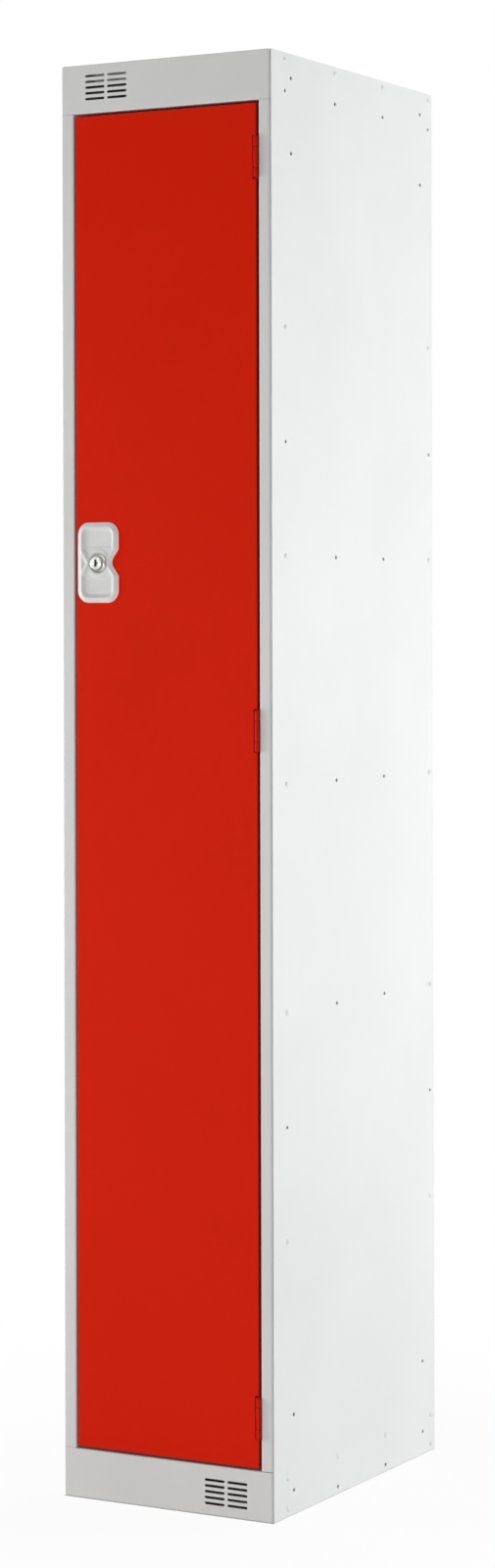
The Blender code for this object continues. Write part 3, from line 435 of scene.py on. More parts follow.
def in_scene(name, data):
    """Object with its data, put into the scene at the origin."""
    item = bpy.data.objects.new(name, data)
    bpy.context.scene.collection.objects.link(item)
    return item


def piece_from(name, bm):
    """Turn a bmesh into an object of the scene."""
    mesh = bpy.data.meshes.new(name)
    bm.to_mesh(mesh)
    bm.free()
    return in_scene(name, mesh)


def discard(*pieces):
    for piece in pieces:
        bpy.data.objects.remove(piece, do_unlink=True)


def plain_mesh(item):
    """The shape that an object has after its modifiers, as a mesh of its own."""
    bpy.context.view_layer.update()
    return bpy.data.meshes.new_from_object(item.evaluated_get(bpy.context.evaluated_depsgraph_get()))


def settle(piece):
    """Turn the shape that the modifiers give into the piece's own mesh."""
    shape = plain_mesh(piece)
    piece.modifiers.clear()
    piece.data = shape


def combine(piece, *others, operation="DIFFERENCE"):
    """Cut other solids out of a piece, or join them to it, and remove them from the scene."""
    for other in others:
        modifier = piece.modifiers.new(operation.title(), "BOOLEAN")
        modifier.object = other
        modifier.operation = operation
        modifier.solver = "EXACT"
    settle(piece)
    discard(*others)


def hang(piece, slot, body, *nodes, smooth_angle=None):
    """Give a settled piece its finish and let it ride on its body in place of its nodes."""
    piece.data.materials.clear()
    piece.data.materials.append(FINISHES[slot])
    if smooth_angle is None:
        piece.data.shade_flat()
    else:
        piece.data.shade_smooth()
        piece.data.set_sharp_from_angle(angle=math.radians(smooth_angle))
    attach(piece, body)
    if nodes:
        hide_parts(*nodes)


def rounded_box(name, low, high, radius=0.0, segments=4):
    """Box between two corners, with every edge rounded."""
    low = Vector(low)
    high = Vector(high)
    size = Matrix.Diagonal((*(high - low), 1.0))
    bm = bmesh.new()
    bmesh.ops.create_cube(bm, size=1.0, matrix=Matrix.Translation((low + high) / 2) @ size)
    if radius > 0:
        bmesh.ops.bevel(bm, geom=bm.edges[:], offset=radius, segments=segments, profile=0.5,
                        affect="EDGES")
    return piece_from(name, bm)


def toward(direction):
    """Turn that takes the local Z axis to a direction."""
    return Vector((0.0, 0.0, 1.0)).rotation_difference(Vector(direction)).to_matrix().to_4x4()


def quarter_turn(steps):
    return [math.pi / 2 * step / steps for step in range(steps + 1)]


def full_turn(count):
    return [2 * math.pi * step / count for step in range(count)]


def turned(name, profile, centre, direction, sides, closed=False):
    """Turn a profile of radius and height about an axis through a point."""
    bm = bmesh.new()
    rings = []
    for radius, height in profile:
        turns = full_turn(sides) if radius > 0 else [0.0]
        rings.append([bm.verts.new((radius * math.cos(turn), radius * math.sin(turn), height))
                      for turn in turns])
    pairs = list(zip(rings, rings[1:]))
    if closed:
        pairs.append((rings[-1], rings[0]))
    for upper, lower in pairs:
        for step in range(sides):
            following = (step + 1) % sides
            corners = [upper[step % len(upper)], lower[step % len(lower)],
                       lower[following % len(lower)], upper[following % len(upper)]]
            bm.faces.new(list(dict.fromkeys(corners)))
    bmesh.ops.recalc_face_normals(bm, faces=bm.faces)
    bmesh.ops.transform(bm, matrix=Matrix.Translation(centre) @ toward(direction), verts=bm.verts)
    return piece_from(name, bm)


def rounded_edge(radius, height, round_radius, steps=4):
    """Profile points of a rounded upper rim, from its top to its side."""
    return [(radius - round_radius * (1 - math.sin(turn)), height - round_radius * (1 - math.cos(turn)))
            for turn in quarter_turn(steps)]


def corner_arc(before, corner, after, radius, steps):
    """Points of the fillet of one corner of a path."""
    corner = Vector(corner)
    to_before = Vector(before) - corner
    to_after = Vector(after) - corner
    half_angle = to_before.angle(to_after) / 2
    room = FILLET_SHARE * min(to_before.length, to_after.length)
    reach = min(radius / math.tan(half_angle), room)
    radius = reach * math.tan(half_angle)
    bisector = to_before.normalized() + to_after.normalized()
    centre = corner + bisector.normalized() * radius / math.sin(half_angle)
    first = corner + to_before.normalized() * reach - centre
    last = corner + to_after.normalized() * reach - centre
    start = math.atan2(first.y, first.x)
    sweep = math.atan2(last.y, last.x) - start
    sweep = (sweep + math.pi) % (2 * math.pi) - math.pi
    turns = [start + sweep * step / steps for step in range(steps + 1)]
    return [centre + radius * Vector((math.cos(turn), math.sin(turn))) for turn in turns]


def rounded_outline(corners, steps=6):
    """Closed outline from corners given as x, y and fillet radius."""
    points = []
    for index, (x, y, radius) in enumerate(corners):
        after = corners[(index + 1) % len(corners)]
        if radius > 0:
            points.extend(corner_arc(corners[index - 1][:2], (x, y), after[:2], radius, steps))
        else:
            points.append(Vector((x, y)))
    return points


def rectangle(width, height, corner=0.0):
    """Outline of a rectangle about the origin."""
    x, y = width / 2, height / 2
    return rounded_outline([(-x, -y, corner), (x, -y, corner), (x, y, corner), (-x, y, corner)])


def path_normals(points, closed):
    """Mitred normals to the right of a path, scaled so that an offset keeps its width."""
    normals = []
    count = len(points)
    for index, point in enumerate(points):
        into = point - points[index - 1] if closed or index else points[1] - point
        last = not closed and index == count - 1
        out = into if last else points[(index + 1) % count] - point
        first_side = Vector((into.y, -into.x)).normalized()
        second_side = Vector((out.y, -out.x)).normalized()
        middle = (first_side + second_side).normalized()
        normals.append(middle / max(MITRE_LIMIT, middle.dot(first_side)))
    return normals


def raised(name, outline, low, high, upright=None):
    """Solid from a flat outline, between two heights, turned by a matrix if one is given."""
    bm = bmesh.new()
    face = bm.faces.new([bm.verts.new((x, y, low)) for x, y in outline])
    lifted = bmesh.ops.extrude_face_region(bm, geom=[face])["geom"]
    top = [item for item in lifted if isinstance(item, bmesh.types.BMVert)]
    bmesh.ops.translate(bm, verts=top, vec=(0.0, 0.0, high - low))
    bmesh.ops.recalc_face_normals(bm, faces=bm.faces)
    if upright is not None:
        bmesh.ops.transform(bm, matrix=upright, verts=bm.verts)
    return piece_from(name, bm)


def folded_strip(name, corners, radius, sheet, low, high):
    """Folded sheet that runs up: its path is one face, and the sheet lies to the right."""
    corners = [Vector(corner) for corner in corners]
    points = [corners[0]]
    for before, corner, after in zip(corners, corners[1:], corners[2:]):
        points.extend(corner_arc(before, corner, after, radius, BEND_STEPS))
    points.append(corners[-1])
    offsets = [point + normal * sheet for point, normal in zip(points, path_normals(points, False))]
    return raised(name, points + offsets[::-1], low, high)


def upright_channel(name, low, high, bend, sheet):
    """Upright channel between two corners, open to the front."""
    corners = [(low.x, low.y), (low.x, high.y), (high.x, high.y), (high.x, low.y)]
    return folded_strip(name, corners, bend, sheet, low.z, high.z)


def on_lock_face(name, outline, back, front):
    """Solid from a flat outline about the lock's axis: its Y up, its height towards the front."""
    upright = Matrix.Translation((LOCK_AXIS.x, 0.0, LOCK_AXIS.z)) @ Matrix.Rotation(math.pi / 2, 4, "X")
    return raised(name, outline, back, front, upright)


def tray(name, low, high, open_front):
    """Sheet with flanges folded down at its edges, and bends of a real radius."""
    reach = 4 * PANEL_BEND
    front = low.y - reach if open_front else low.y
    inner_front = front - reach if open_front else low.y + PANEL_SHEET
    body = rounded_box(name, (low.x, front, low.z - reach), high, PANEL_BEND)
    hollow = rounded_box("hollow", (low.x + PANEL_SHEET, inner_front, low.z - 2 * reach),
                         (high.x - PANEL_SHEET, high.y - PANEL_SHEET, high.z - PANEL_SHEET),
                         PANEL_BEND - PANEL_SHEET)
    wide = Vector((CUT_MARGIN, CUT_MARGIN, 0.0))
    below = rounded_box("below", Vector((low.x, front, low.z - 3 * reach)) - wide,
                        Vector((high.x, high.y, low.z)) + wide)
    cutters = [hollow, below]
    if open_front:
        cutters.append(rounded_box("before", (low.x - CUT_MARGIN, front - reach, low.z - 4 * reach),
                                   (high.x + CUT_MARGIN, low.y, high.z + CUT_MARGIN)))
    combine(body, *cutters)
    return body


# Geometry Nodes trees


class Tree:
    """A Geometry Nodes tree with named inputs and short calls for its nodes."""

    def __init__(self, name):
        self.group = bpy.data.node_groups.new(name, "GeometryNodeTree")
        self.group.interface.new_socket("Geometry", in_out="OUTPUT", socket_type="NodeSocketGeometry")
        self.entry = self.group.nodes.new("NodeGroupInput")
        self.exit = self.group.nodes.new("NodeGroupOutput")
        self.geometry = self.sizes("Geometry", kind="Geometry")[0]

    def sizes(self, *names, kind="Float"):
        """Add inputs of one kind, and give their sockets."""
        for name in names:
            self.group.interface.new_socket(name, in_out="INPUT", socket_type=f"NodeSocket{kind}")
        return [self.entry.outputs[name] for name in names]

    def node(self, kind, links, **properties):
        return add_node(self.group, kind, links, **properties)

    def maths(self, operation, first, second):
        return self.node("ShaderNodeMath", {0: first, 1: second}, operation=operation)["Value"]

    def vector(self, **parts):
        return self.node("ShaderNodeCombineXYZ", parts)["Vector"]

    def joined(self, *parts):
        whole = self.node("GeometryNodeJoinGeometry", {})["Geometry"]
        for part in parts:
            self.group.links.new(part, whole.node.inputs["Geometry"])
        return whole

    def moved(self, geometry, **places):
        return self.node("GeometryNodeTransform", {"Geometry": geometry, **places})["Geometry"]

    def copies(self, points, shape, **turns):
        """Plain copies of a shape, one on every point."""
        links = {"Points": points, "Instance": shape, **turns}
        copies = self.node("GeometryNodeInstanceOnPoints", links)["Instances"]
        return self.node("GeometryNodeRealizeInstances", {"Geometry": copies})["Geometry"]

    def cut(self, cutters):
        """The tree's own geometry with cutters taken out of it."""
        return self.node("GeometryNodeMeshBoolean", {"Mesh 1": self.geometry, "Mesh 2": cutters},
                         operation="DIFFERENCE", solver="EXACT")["Mesh"]

    def finish(self, geometry):
        """End the tree in geometry with its finish."""
        finish = self.sizes("Finish", kind="Material")[0]
        coated = self.node("GeometryNodeSetMaterial", {"Geometry": geometry, "Material": finish})["Geometry"]
        self.group.links.new(coated, self.exit.inputs["Geometry"])
        return self


def grow(piece, tree, values):
    """Run a tree on a piece, with its inputs set by identifier, and keep the plain result."""
    modifier = piece.modifiers.new(tree.group.name, "NODES")
    modifier.node_group = tree.group
    for item in tree.group.interface.items_tree:
        if item.in_out == "INPUT" and item.name in values:
            modifier[item.identifier] = values[item.name]
    settle(piece)


def rivet_tree():
    """A blind rivet on every point: dome with a pulled-stem dimple, and a swollen tail behind."""
    tree = Tree("blind_rivets")
    radius, height, dimple, sink, grip = tree.sizes(
        "Head Radius", "Head Height", "Dimple Radius", "Dimple Depth", "Grip")
    turn = tree.sizes("Turn", kind="Vector")[0]
    angles = [math.radians(degrees) for degrees in RIVET_DOME_DEGREES]
    steps = []
    for before, after in zip(angles, angles[1:]):
        rise = math.sin(after) - math.sin(before)
        steps.append((math.cos(after) / math.cos(before), tree.maths("MULTIPLY", height, rise)))
    edge = tree.maths("MULTIPLY", radius, math.cos(angles[-1]))
    steps.append((tree.maths("DIVIDE", dimple, edge), 0.0))
    steps.append((RIVET_DIMPLE_TAPER, tree.maths("MULTIPLY", sink, -1.0)))
    head = tree.node("GeometryNodeMeshCircle", {"Vertices": RIVET_SIDES, "Radius": radius},
                     fill_type="NGON")["Mesh"]
    top = True
    for ratio, rise in steps:
        lifted = tree.node("GeometryNodeExtrudeMesh", {
            "Mesh": head, "Selection": top, "Offset Scale": rise, "Individual": False})
        top = lifted["Top"]
        head = tree.node("GeometryNodeScaleElements", {
            "Geometry": lifted["Mesh"], "Selection": top, "Scale": ratio})["Geometry"]
    swelling = tree.maths("MULTIPLY", radius, RIVET_TAIL_SWELL)
    tail = tree.node("GeometryNodeMeshUVSphere", {"Segments": 16, "Rings": 8, "Radius": swelling})["Mesh"]
    below = tree.maths("MULTIPLY", tree.maths("ADD", grip, swelling), -1.0)
    rivet = tree.joined(tree.moved(tail, Translation=tree.vector(Z=below)), head)
    return tree.finish(tree.copies(tree.geometry, rivet, Rotation=turn))


def drilling_tree():
    """Round holes along X through a sheet, one on every point of a guide object."""
    tree = Tree("drilled_sheet")
    guide = tree.sizes("Hole Places", kind="Object")[0]
    radius, depth = tree.sizes("Hole Radius", "Hole Depth")
    places = tree.node("GeometryNodeObjectInfo", {"Object": guide})["Geometry"]
    drill = tree.node("GeometryNodeMeshCylinder", {
        "Vertices": HOLE_SIDES, "Radius": radius, "Depth": depth})["Mesh"]
    lying = tree.moved(drill, Rotation=(0.0, math.pi / 2, 0.0))
    return tree.finish(tree.cut(tree.copies(places, lying)))


def vent_tree():
    """A field of round-ended slots through a front sheet, in rows and columns about a centre."""
    tree = Tree("vented_front")
    length, height, web, pitch, depth = tree.sizes(
        "Slot Length", "Slot Height", "Slot Web", "Row Pitch", "Cut Depth")
    rows, columns = tree.sizes("Rows", "Columns", kind="Int")
    centre = tree.sizes("Centre", kind="Vector")[0]
    outline = tree.node("GeometryNodeCurvePrimitiveQuadrilateral", {
        "Width": length, "Height": height})["Curve"]
    end_radius = tree.maths("MULTIPLY", height, VENT_END_SHARE)
    ends = tree.node("GeometryNodeFilletCurve", {
        "Curve": outline, "Radius": end_radius, "Count": BEND_STEPS}, mode="POLY")["Curve"]
    face = tree.node("GeometryNodeFillCurve", {"Curve": ends}, mode="NGONS")["Mesh"]
    solid = tree.node("GeometryNodeExtrudeMesh", {
        "Mesh": face, "Offset Scale": depth, "Individual": False})["Mesh"]
    floor = tree.node("GeometryNodeFlipFaces", {"Mesh": face})["Mesh"]
    slot = tree.node("GeometryNodeMergeByDistance", {
        "Geometry": tree.joined(floor, solid), "Distance": MERGE_DISTANCE})["Geometry"]
    middled = tree.moved(slot, Translation=tree.vector(Z=tree.maths("MULTIPLY", depth, -0.5)))
    across = tree.maths("MULTIPLY", tree.maths("ADD", length, web), tree.maths("SUBTRACT", columns, 1.0))
    up = tree.maths("MULTIPLY", pitch, tree.maths("SUBTRACT", rows, 1.0))
    field = tree.node("GeometryNodeMeshGrid", {
        "Size X": across, "Size Y": up, "Vertices X": columns, "Vertices Y": rows})["Mesh"]
    slots = tree.copies(field, middled)
    return tree.finish(tree.cut(tree.moved(slots, Translation=centre, Rotation=(math.pi / 2, 0.0, 0.0))))


RIVETS = rivet_tree()
DRILLING = drilling_tree()
VENTS = vent_tree()


# Carcass


def node_centre(node):
    low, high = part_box(node)
    return (low + high) / 2


COLUMN_DEPTHS = [node_centre(f"rivet_right_top_{column}").y for column in (1, 2, 3, 4)]
SEAM_ROWS = [node_centre(f"rivet_right_front_{row}").z for row in (1, 2, 3, 4, 5)]
BASE_ROW = node_centre("rivet_right_base_1").z


def points_guide(name, places):
    bm = bmesh.new()
    for place in places:
        bm.verts.new(place)
    return piece_from(name, bm)


def rivet_places(side):
    """Every riveted joint of one side, on the face of its sheet."""
    places = [(side, depth, row) for depth in COLUMN_DEPTHS for row in (BASE_ROW, HEIGHT - END_ROW)]
    for depth in (COLUMN_DEPTHS[0], COLUMN_DEPTHS[-1]):
        places += [(side, depth, row) for row in (END_ROW, *SEAM_ROWS)]
    return places


def open_hole_places():
    """Every hole of both sides that is left open."""
    middle = COLUMN_DEPTHS[1:-1]
    places = [(depth, HEIGHT - BASE_ROW) for depth in COLUMN_DEPTHS]
    places += [(depth, row) for depth in middle for row in (END_ROW, *SEAM_ROWS[1:-1])]
    for depth in (COLUMN_DEPTHS[0], COLUMN_DEPTHS[-1]):
        places.append((depth, (SEAM_ROWS[0] + SEAM_ROWS[1]) / 2))
        places.append((depth, (SEAM_ROWS[-2] + SEAM_ROWS[-1]) / 2))
    for depth in (FRONT + LINK_HOLE_FRONT, REAR - LINK_HOLE_REAR):
        for end in LINK_HOLE_ENDS:
            places += [(depth, end), (depth, HEIGHT - end)]
    return [(side, *place) for side in (-SIDE, SIDE) for place in places]


HOLE_GUIDE = points_guide("hole_guide", open_hole_places())


def hang_drilled(piece, slot, node):
    """Drill a sheet of the carcass wherever an open hole meets it, and hang it."""
    grow(piece, DRILLING, {"Hole Places": HOLE_GUIDE, "Hole Radius": HOLE_RADIUS,
                           "Hole Depth": HOLE_DEPTH, "Finish": FINISHES[slot]})
    hang(piece, slot, "carcass", node)


def side_sheets():
    for hand in ("left", "right"):
        node = f"side_panel_{hand}"
        low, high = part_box(node)
        sheet = rounded_box(f"{hand}_side_sheet", low, high, PANEL_SHEET / 4, segments=2)
        hang_drilled(sheet, "white_paint", node)


def back_sheet():
    sheet = upright_channel("back_sheet", BACK_LOW, BACK_HIGH, PANEL_BEND, PANEL_SHEET)
    hang_drilled(sheet, "white_paint", "back_panel")


def trays():
    for name, node, open_front in (("top_tray", "top_panel", False), ("base_tray", "base_panel", True),
                                   ("shelf_tray", "hat_shelf", False)):
        hang_drilled(tray(name, *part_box(node), open_front), "white_paint", node)


def opening_fillet(edge, inward):
    """Cutter that rounds a frame end's edge along the door opening; inward is +1 or -1 in Z."""
    centre = Vector((FRONT + POST_BEND, edge + inward * POST_BEND))
    arc = [centre - POST_BEND * Vector((math.sin(turn), inward * math.cos(turn)))
           for turn in quarter_turn(BEND_STEPS)]
    outer = edge - inward * CUT_MARGIN
    outline = [Vector((FRONT - CUT_MARGIN, outer)), Vector((centre.x, outer)), *arc,
               Vector((FRONT - CUT_MARGIN, centre.y))]
    across = Matrix(((0, 0, 1, 0), (1, 0, 0, 0), (0, 1, 0, 0), (0, 0, 0, 1)))
    return raised("opening_fillet", outline, OPENING_LEFT, OPENING_RIGHT, across)


def frame_end(name, node, vent_x, vent_z, inward):
    """Header or plinth: a folded box front, with slots, that is square where it meets the posts."""
    low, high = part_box(node)
    reach = 4 * POST_BEND
    lift = Vector((0.0, 0.0, reach))
    far = high.y + 4 * reach
    edge = low.z if inward > 0 else high.z
    shell_low = low - lift if inward > 0 else low
    shell_high = high if inward > 0 else high + lift
    shell = rounded_box(name, shell_low, shell_high + Vector((0.0, reach, 0.0)), POST_BEND)
    sheet = Vector((FRAME_SHEET, FRAME_SHEET, FRAME_SHEET))
    hollow = rounded_box("hollow", low + sheet, Vector((high.x, far, high.z)) - sheet,
                         POST_BEND - FRAME_SHEET)
    margin = Vector((CUT_MARGIN, 0.0, reach + CUT_MARGIN))
    returns = rounded_box("returns", (low.x + FRAME_SHEET, FRONT + FRAME_RETURN, low.z - CUT_MARGIN),
                          (high.x - FRAME_SHEET, far, high.z + CUT_MARGIN))
    rear = rounded_box("rear", Vector((low.x, high.y, low.z)) - margin,
                       Vector((high.x, far, high.z)) + margin)
    trim_z = sorted((edge, edge - inward * 2 * reach))
    trim = rounded_box("trim", (low.x - CUT_MARGIN, FRONT - CUT_MARGIN, trim_z[0]),
                       (high.x + CUT_MARGIN, far, trim_z[1]))
    combine(shell, hollow, returns, rear, trim, opening_fillet(edge, inward))
    grow(shell, VENTS, {
        "Slot Length": VENT_SLOT_LENGTH, "Slot Height": VENT_SLOT_HEIGHT, "Slot Web": VENT_SLOT_WEB,
        "Row Pitch": VENT_ROW_PITCH, "Rows": VENT_ROWS, "Columns": VENT_COLUMNS,
        "Centre": (vent_x, FRONT, vent_z), "Cut Depth": VENT_CUT_DEPTH, "Finish": FINISHES["grey_paint"]})
    hang_drilled(shell, "grey_paint", node)


def front_frame():
    frame_end("header_sheet", "frame_header", -VENT_OFFSET, HEIGHT - VENT_EDGE, 1)
    frame_end("plinth_sheet", "frame_plinth", VENT_OFFSET, VENT_EDGE, -1)
    flange = FRONT + FRAME_FLANGE
    right = [(RIGHT_POST_HIGH.x, flange), (RIGHT_POST_HIGH.x, FRONT), (OPENING_RIGHT, FRONT),
             (OPENING_RIGHT, STOP_FRONT), (RIGHT_POST_LOW.x, STOP_FRONT)]
    left = [(LEFT_POST_HIGH.x, STOP_FRONT), (OPENING_LEFT, STOP_FRONT), (OPENING_LEFT, FRONT),
            (LEFT_POST_LOW.x, FRONT), (LEFT_POST_LOW.x, flange)]
    for hand, corners, seam in (("left", left, 0.0), ("right", right, POST_SEAM)):
        post = folded_strip(f"{hand}_post_sheet", corners, POST_BEND, FRAME_SHEET,
                            RIGHT_POST_LOW.z + seam, RIGHT_POST_HIGH.z)
        hang_drilled(post, "grey_paint", f"frame_post_{hand}")


def rivet_group(name, places, slot, grip, turn, nodes):
    """One piece of rivets, with their heads on a face and their tails behind it."""
    heads = points_guide(name, places)
    grow(heads, RIVETS, {
        "Head Radius": RIVET_RADIUS, "Head Height": RIVET_HEIGHT, "Dimple Radius": RIVET_DIMPLE_RADIUS,
        "Dimple Depth": RIVET_DIMPLE_DEPTH, "Grip": grip, "Turn": (0.0, turn, 0.0),
        "Finish": FINISHES[slot]})
    hang(heads, slot, "carcass", *nodes, smooth_angle=40)


def rivets():
    """Dome rivets of both sides, and the two that hold the coat hook."""
    for hand, side, turn in (("left", -SIDE, -math.pi / 2), ("right", SIDE, math.pi / 2)):
        nodes = [node for node in frame["nodes"] if node.startswith(f"rivet_{hand}_")]
        rivet_group(f"{hand}_rivets", rivet_places(side), "white_paint", SIDE - SHELF_HIGH.x + PANEL_SHEET,
                    turn, nodes)
    nodes = ("hook_rivet_left", "hook_rivet_right")
    places = [(*node_centre(node).xy, SHELF_HIGH.z) for node in nodes]
    rivet_group("hook_rivets", places, "zinc_steel", SHELF_HIGH.z - HOOK_HIGH.z + HOOK_PLATE, 0.0, nodes)


def hook_prong(name, direction, top):
    """One wire prong: down from the plate, round and up to a rounded tip."""
    start = direction * HOOK_WIRE_RADIUS
    bend = HOOK_REACH / 2
    lowest = top - HOOK_DROP
    route = [(start, top)]
    for step in range(HOOK_BEND_STEPS + 1):
        turn = math.pi * step / HOOK_BEND_STEPS
        route.append((start + direction * bend * (1 - math.cos(turn)), lowest - bend * math.sin(turn)))
    route.append((start + direction * HOOK_REACH, lowest + HOOK_LIFT))
    curve = bpy.data.curves.new(name, "CURVE")
    curve.dimensions = "3D"
    curve.bevel_depth = HOOK_WIRE_RADIUS
    curve.bevel_resolution = 4
    curve.use_fill_caps = True
    spline = curve.splines.new("POLY")
    spline.points.add(len(route) - 1)
    for point, (x, z) in zip(spline.points, route):
        point.co = (x, 0.0, z, 1.0)
    wire = in_scene(name, curve)
    mesh = plain_mesh(wire)
    discard(wire)
    bm = bmesh.new()
    bm.from_mesh(mesh)
    bmesh.ops.remove_doubles(bm, verts=bm.verts, dist=MERGE_DISTANCE)
    bmesh.ops.recalc_face_normals(bm, faces=bm.faces)
    ball = bmesh.new()
    tip = Matrix.Translation((route[-1][0], 0.0, route[-1][1]))
    bmesh.ops.create_uvsphere(ball, u_segments=24, v_segments=16, radius=HOOK_TIP_RADIUS, matrix=tip)
    return piece_from(name, bm), piece_from(f"{name}_tip", ball)


def coat_hook():
    top = HOOK_HIGH.z
    plate = rectangle(HOOK_PLATE_LENGTH, HOOK_PLATE_WIDTH, HOOK_PLATE_CORNER)
    hook = raised("coat_hook_wire_and_plate", plate, top - HOOK_PLATE, top)
    middle = top - HOOK_PLATE / 2
    combine(hook, *hook_prong("left_prong", -1, middle), *hook_prong("right_prong", 1, middle),
            operation="UNION")
    hang(hook, "zinc_steel", "carcass", "coat_hook", smooth_angle=40)


def door_buffers():
    for place in ("upper", "lower"):
        node = f"door_buffer_{place}"
        low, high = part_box(node)
        seat = SEAT_GAP - STOP_FRONT
        profile = [(0.0, -low.y), *rounded_edge(BUFFER_RADIUS, -low.y, BUFFER_ROUND, steps=6),
                   (BUFFER_RADIUS, seat + BUFFER_CHAMFER), (BUFFER_RADIUS - BUFFER_CHAMFER, seat),
                   (BUFFER_STUD_RADIUS, seat), (BUFFER_STUD_RADIUS, -high.y), (0.0, -high.y)]
        middle = node_centre(node)
        pad = turned(f"{place}_buffer_pad", profile, (middle.x, 0.0, middle.z), (0.0, -1.0, 0.0), sides=32)
        hang(pad, "black_rubber", "carcass", node, smooth_angle=35)


# Door


def waist(edge, depth):
    """Corners of a waist in one side of the lock housing, from below."""
    return [(edge, HOUSING_RISE - WAIST_HALF_HEIGHT, WAIST_SHOULDER),
            (edge + depth, HOUSING_RISE, WAIST_ROUND),
            (edge, HOUSING_RISE + WAIST_HALF_HEIGHT, WAIST_SHOULDER)]


def housing_outline(inset, corner, rib=0.0, steps=6):
    """Outline about the lock's axis, drawn in from the housing's edge; a rib gives its left side a waist."""
    left = HOUSING_LOW.x - LOCK_AXIS.x + inset
    right = HOUSING_HIGH.x - LOCK_AXIS.x - inset
    top = HOUSING_HIGH.z - LOCK_AXIS.z - inset
    foot = 2 * HOUSING_RISE - top
    corners = [(left, foot, corner), (right, foot, corner), *waist(right, -WAIST_DEPTH),
               (right, top, corner), (left, top, corner)]
    if rib:
        corners += reversed(waist(left, rib))
    return rounded_outline(corners, steps)


def door_pan():
    """Door: one sheet folded to returns and lips, cut out for the housing and the hinges."""
    pan = rounded_box("door_pan", DOOR_LOW, DOOR_HIGH, PAINT_BEND)
    sheet = Vector((DOOR_SHEET, DOOR_SHEET, DOOR_SHEET))
    hollow = rounded_box("hollow", DOOR_LOW + sheet, DOOR_HIGH - sheet, PAINT_BEND - DOOR_SHEET)
    mouth = rounded_box("mouth", (DOOR_LOW.x + DOOR_LIP, node_centre("door_skin").y, DOOR_LOW.z + DOOR_LIP),
                        (DOOR_HIGH.x - DOOR_LIP, DOOR_HIGH.y + CUT_MARGIN, DOOR_HIGH.z - DOOR_LIP))
    hole = housing_outline(HOUSING_CUT_INSET, HOUSING_CORNER - HOUSING_CUT_INSET)
    cut_out = on_lock_face("cut_out", hole, -FRONT - CUT_MARGIN, -FRONT + CUT_MARGIN)
    notches = []
    reach = HINGE_RADIUS + HINGE_GAP
    for place in HINGE_NAMES:
        low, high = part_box(f"hinge_pin_{place}")
        notch_low = (HINGE_AXIS.x - HINGE_NOTCH_REACH, HINGE_AXIS.y - reach, low.z - 2 * HINGE_GAP)
        notch_high = (HINGE_AXIS.x + reach, FRONT + DOOR_SHEET + HINGE_GAP, high.z + 2 * HINGE_GAP)
        notches.append(rounded_box(f"notch_{place}", notch_low, notch_high))
    combine(pan, hollow, mouth, cut_out, *notches)
    hang(pan, "red_paint", "door", "door_skin")


def stiffener():
    rail = upright_channel("stiffener_channel", STIFFENER_LOW, STIFFENER_HIGH, PAINT_BEND, DOOR_SHEET)
    hang(rail, "zinc_steel", "door", "door_stiffener")


# Hinges


def hinge_leaf(name, node, body, spans, leaf_low, leaf_high, middle):
    """Leaf in the gap beside the door, with its knuckles rolled round the pin."""
    root = HINGE_AXIS.y + HINGE_RADIUS + HINGE_GAP
    leaf = rounded_box(name, (leaf_low, root, middle - HINGE_HALF),
                       (leaf_high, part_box(node)[1].y, middle + HINGE_HALF), HINGE_LEAF_SHEET / 4, segments=2)
    bore = HINGE_PIN_RADIUS + HINGE_GAP
    neck_front = HINGE_AXIS.y + bore + HINGE_GAP
    parts = []
    for low, high in spans:
        rim = rounded_edge(HINGE_RADIUS, high, KNUCKLE_ROUND, steps=3)
        foot = [(radius, low + high - height) for radius, height in reversed(rim)]
        barrel = turned(f"{name}_barrel", [(bore, high), *rim, *foot, (bore, low)],
                        (HINGE_AXIS.x, HINGE_AXIS.y, middle), (0.0, 0.0, 1.0), sides=40, closed=True)
        neck = rounded_box(f"{name}_neck", (leaf_low, neck_front, middle + low),
                           (leaf_high, root + HINGE_RADIUS, middle + high))
        parts += [neck, barrel]
    combine(leaf, *parts, operation="UNION")
    hang(leaf, "red_paint", body, node, smooth_angle=35)


def hinge_pin(place):
    node = f"hinge_pin_{place}"
    low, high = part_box(node)
    middle = node_centre(node)
    half = (high.z - low.z) / 2
    head = high.x - middle.x
    collar = HINGE_HALF + HINGE_GAP
    dome = [(head * math.sin(turn), collar + (half - collar) * math.cos(turn))
            for turn in quarter_turn(BEND_STEPS)]
    profile = dome + [(HINGE_PIN_RADIUS, collar), (HINGE_PIN_RADIUS, -collar)]
    profile += [(radius, -height) for radius, height in reversed(dome)]
    pin = turned(f"{place}_hinge_pin", profile, middle, (0.0, 0.0, 1.0), sides=32)
    hang(pin, "red_paint", "carcass", node, smooth_angle=35)


def hinges():
    knuckle = HINGE_MIDDLE_KNUCKLE / 2
    frame_spans = [(-HINGE_HALF, -knuckle - KNUCKLE_GAP), (knuckle + KNUCKLE_GAP, HINGE_HALF)]
    jamb = OPENING_RIGHT - HINGE_GAP
    door_edge = DOOR_HIGH.x + HINGE_GAP
    for place in HINGE_NAMES:
        middle = node_centre(f"hinge_pin_{place}").z
        hinge_leaf(f"{place}_hinge_frame_leaf", f"hinge_leaf_frame_{place}", "carcass", frame_spans,
                   jamb - HINGE_LEAF_SHEET, jamb, middle)
        hinge_leaf(f"{place}_hinge_door_leaf", f"hinge_leaf_door_{place}", "door", [(-knuckle, knuckle)],
                   door_edge, door_edge + HINGE_LEAF_SHEET, middle)
        hinge_pin(place)


# Lock housing


def smooth_step(values):
    values = np.clip(values, 0.0, 1.0)
    return values * values * (3.0 - 2.0 * values)


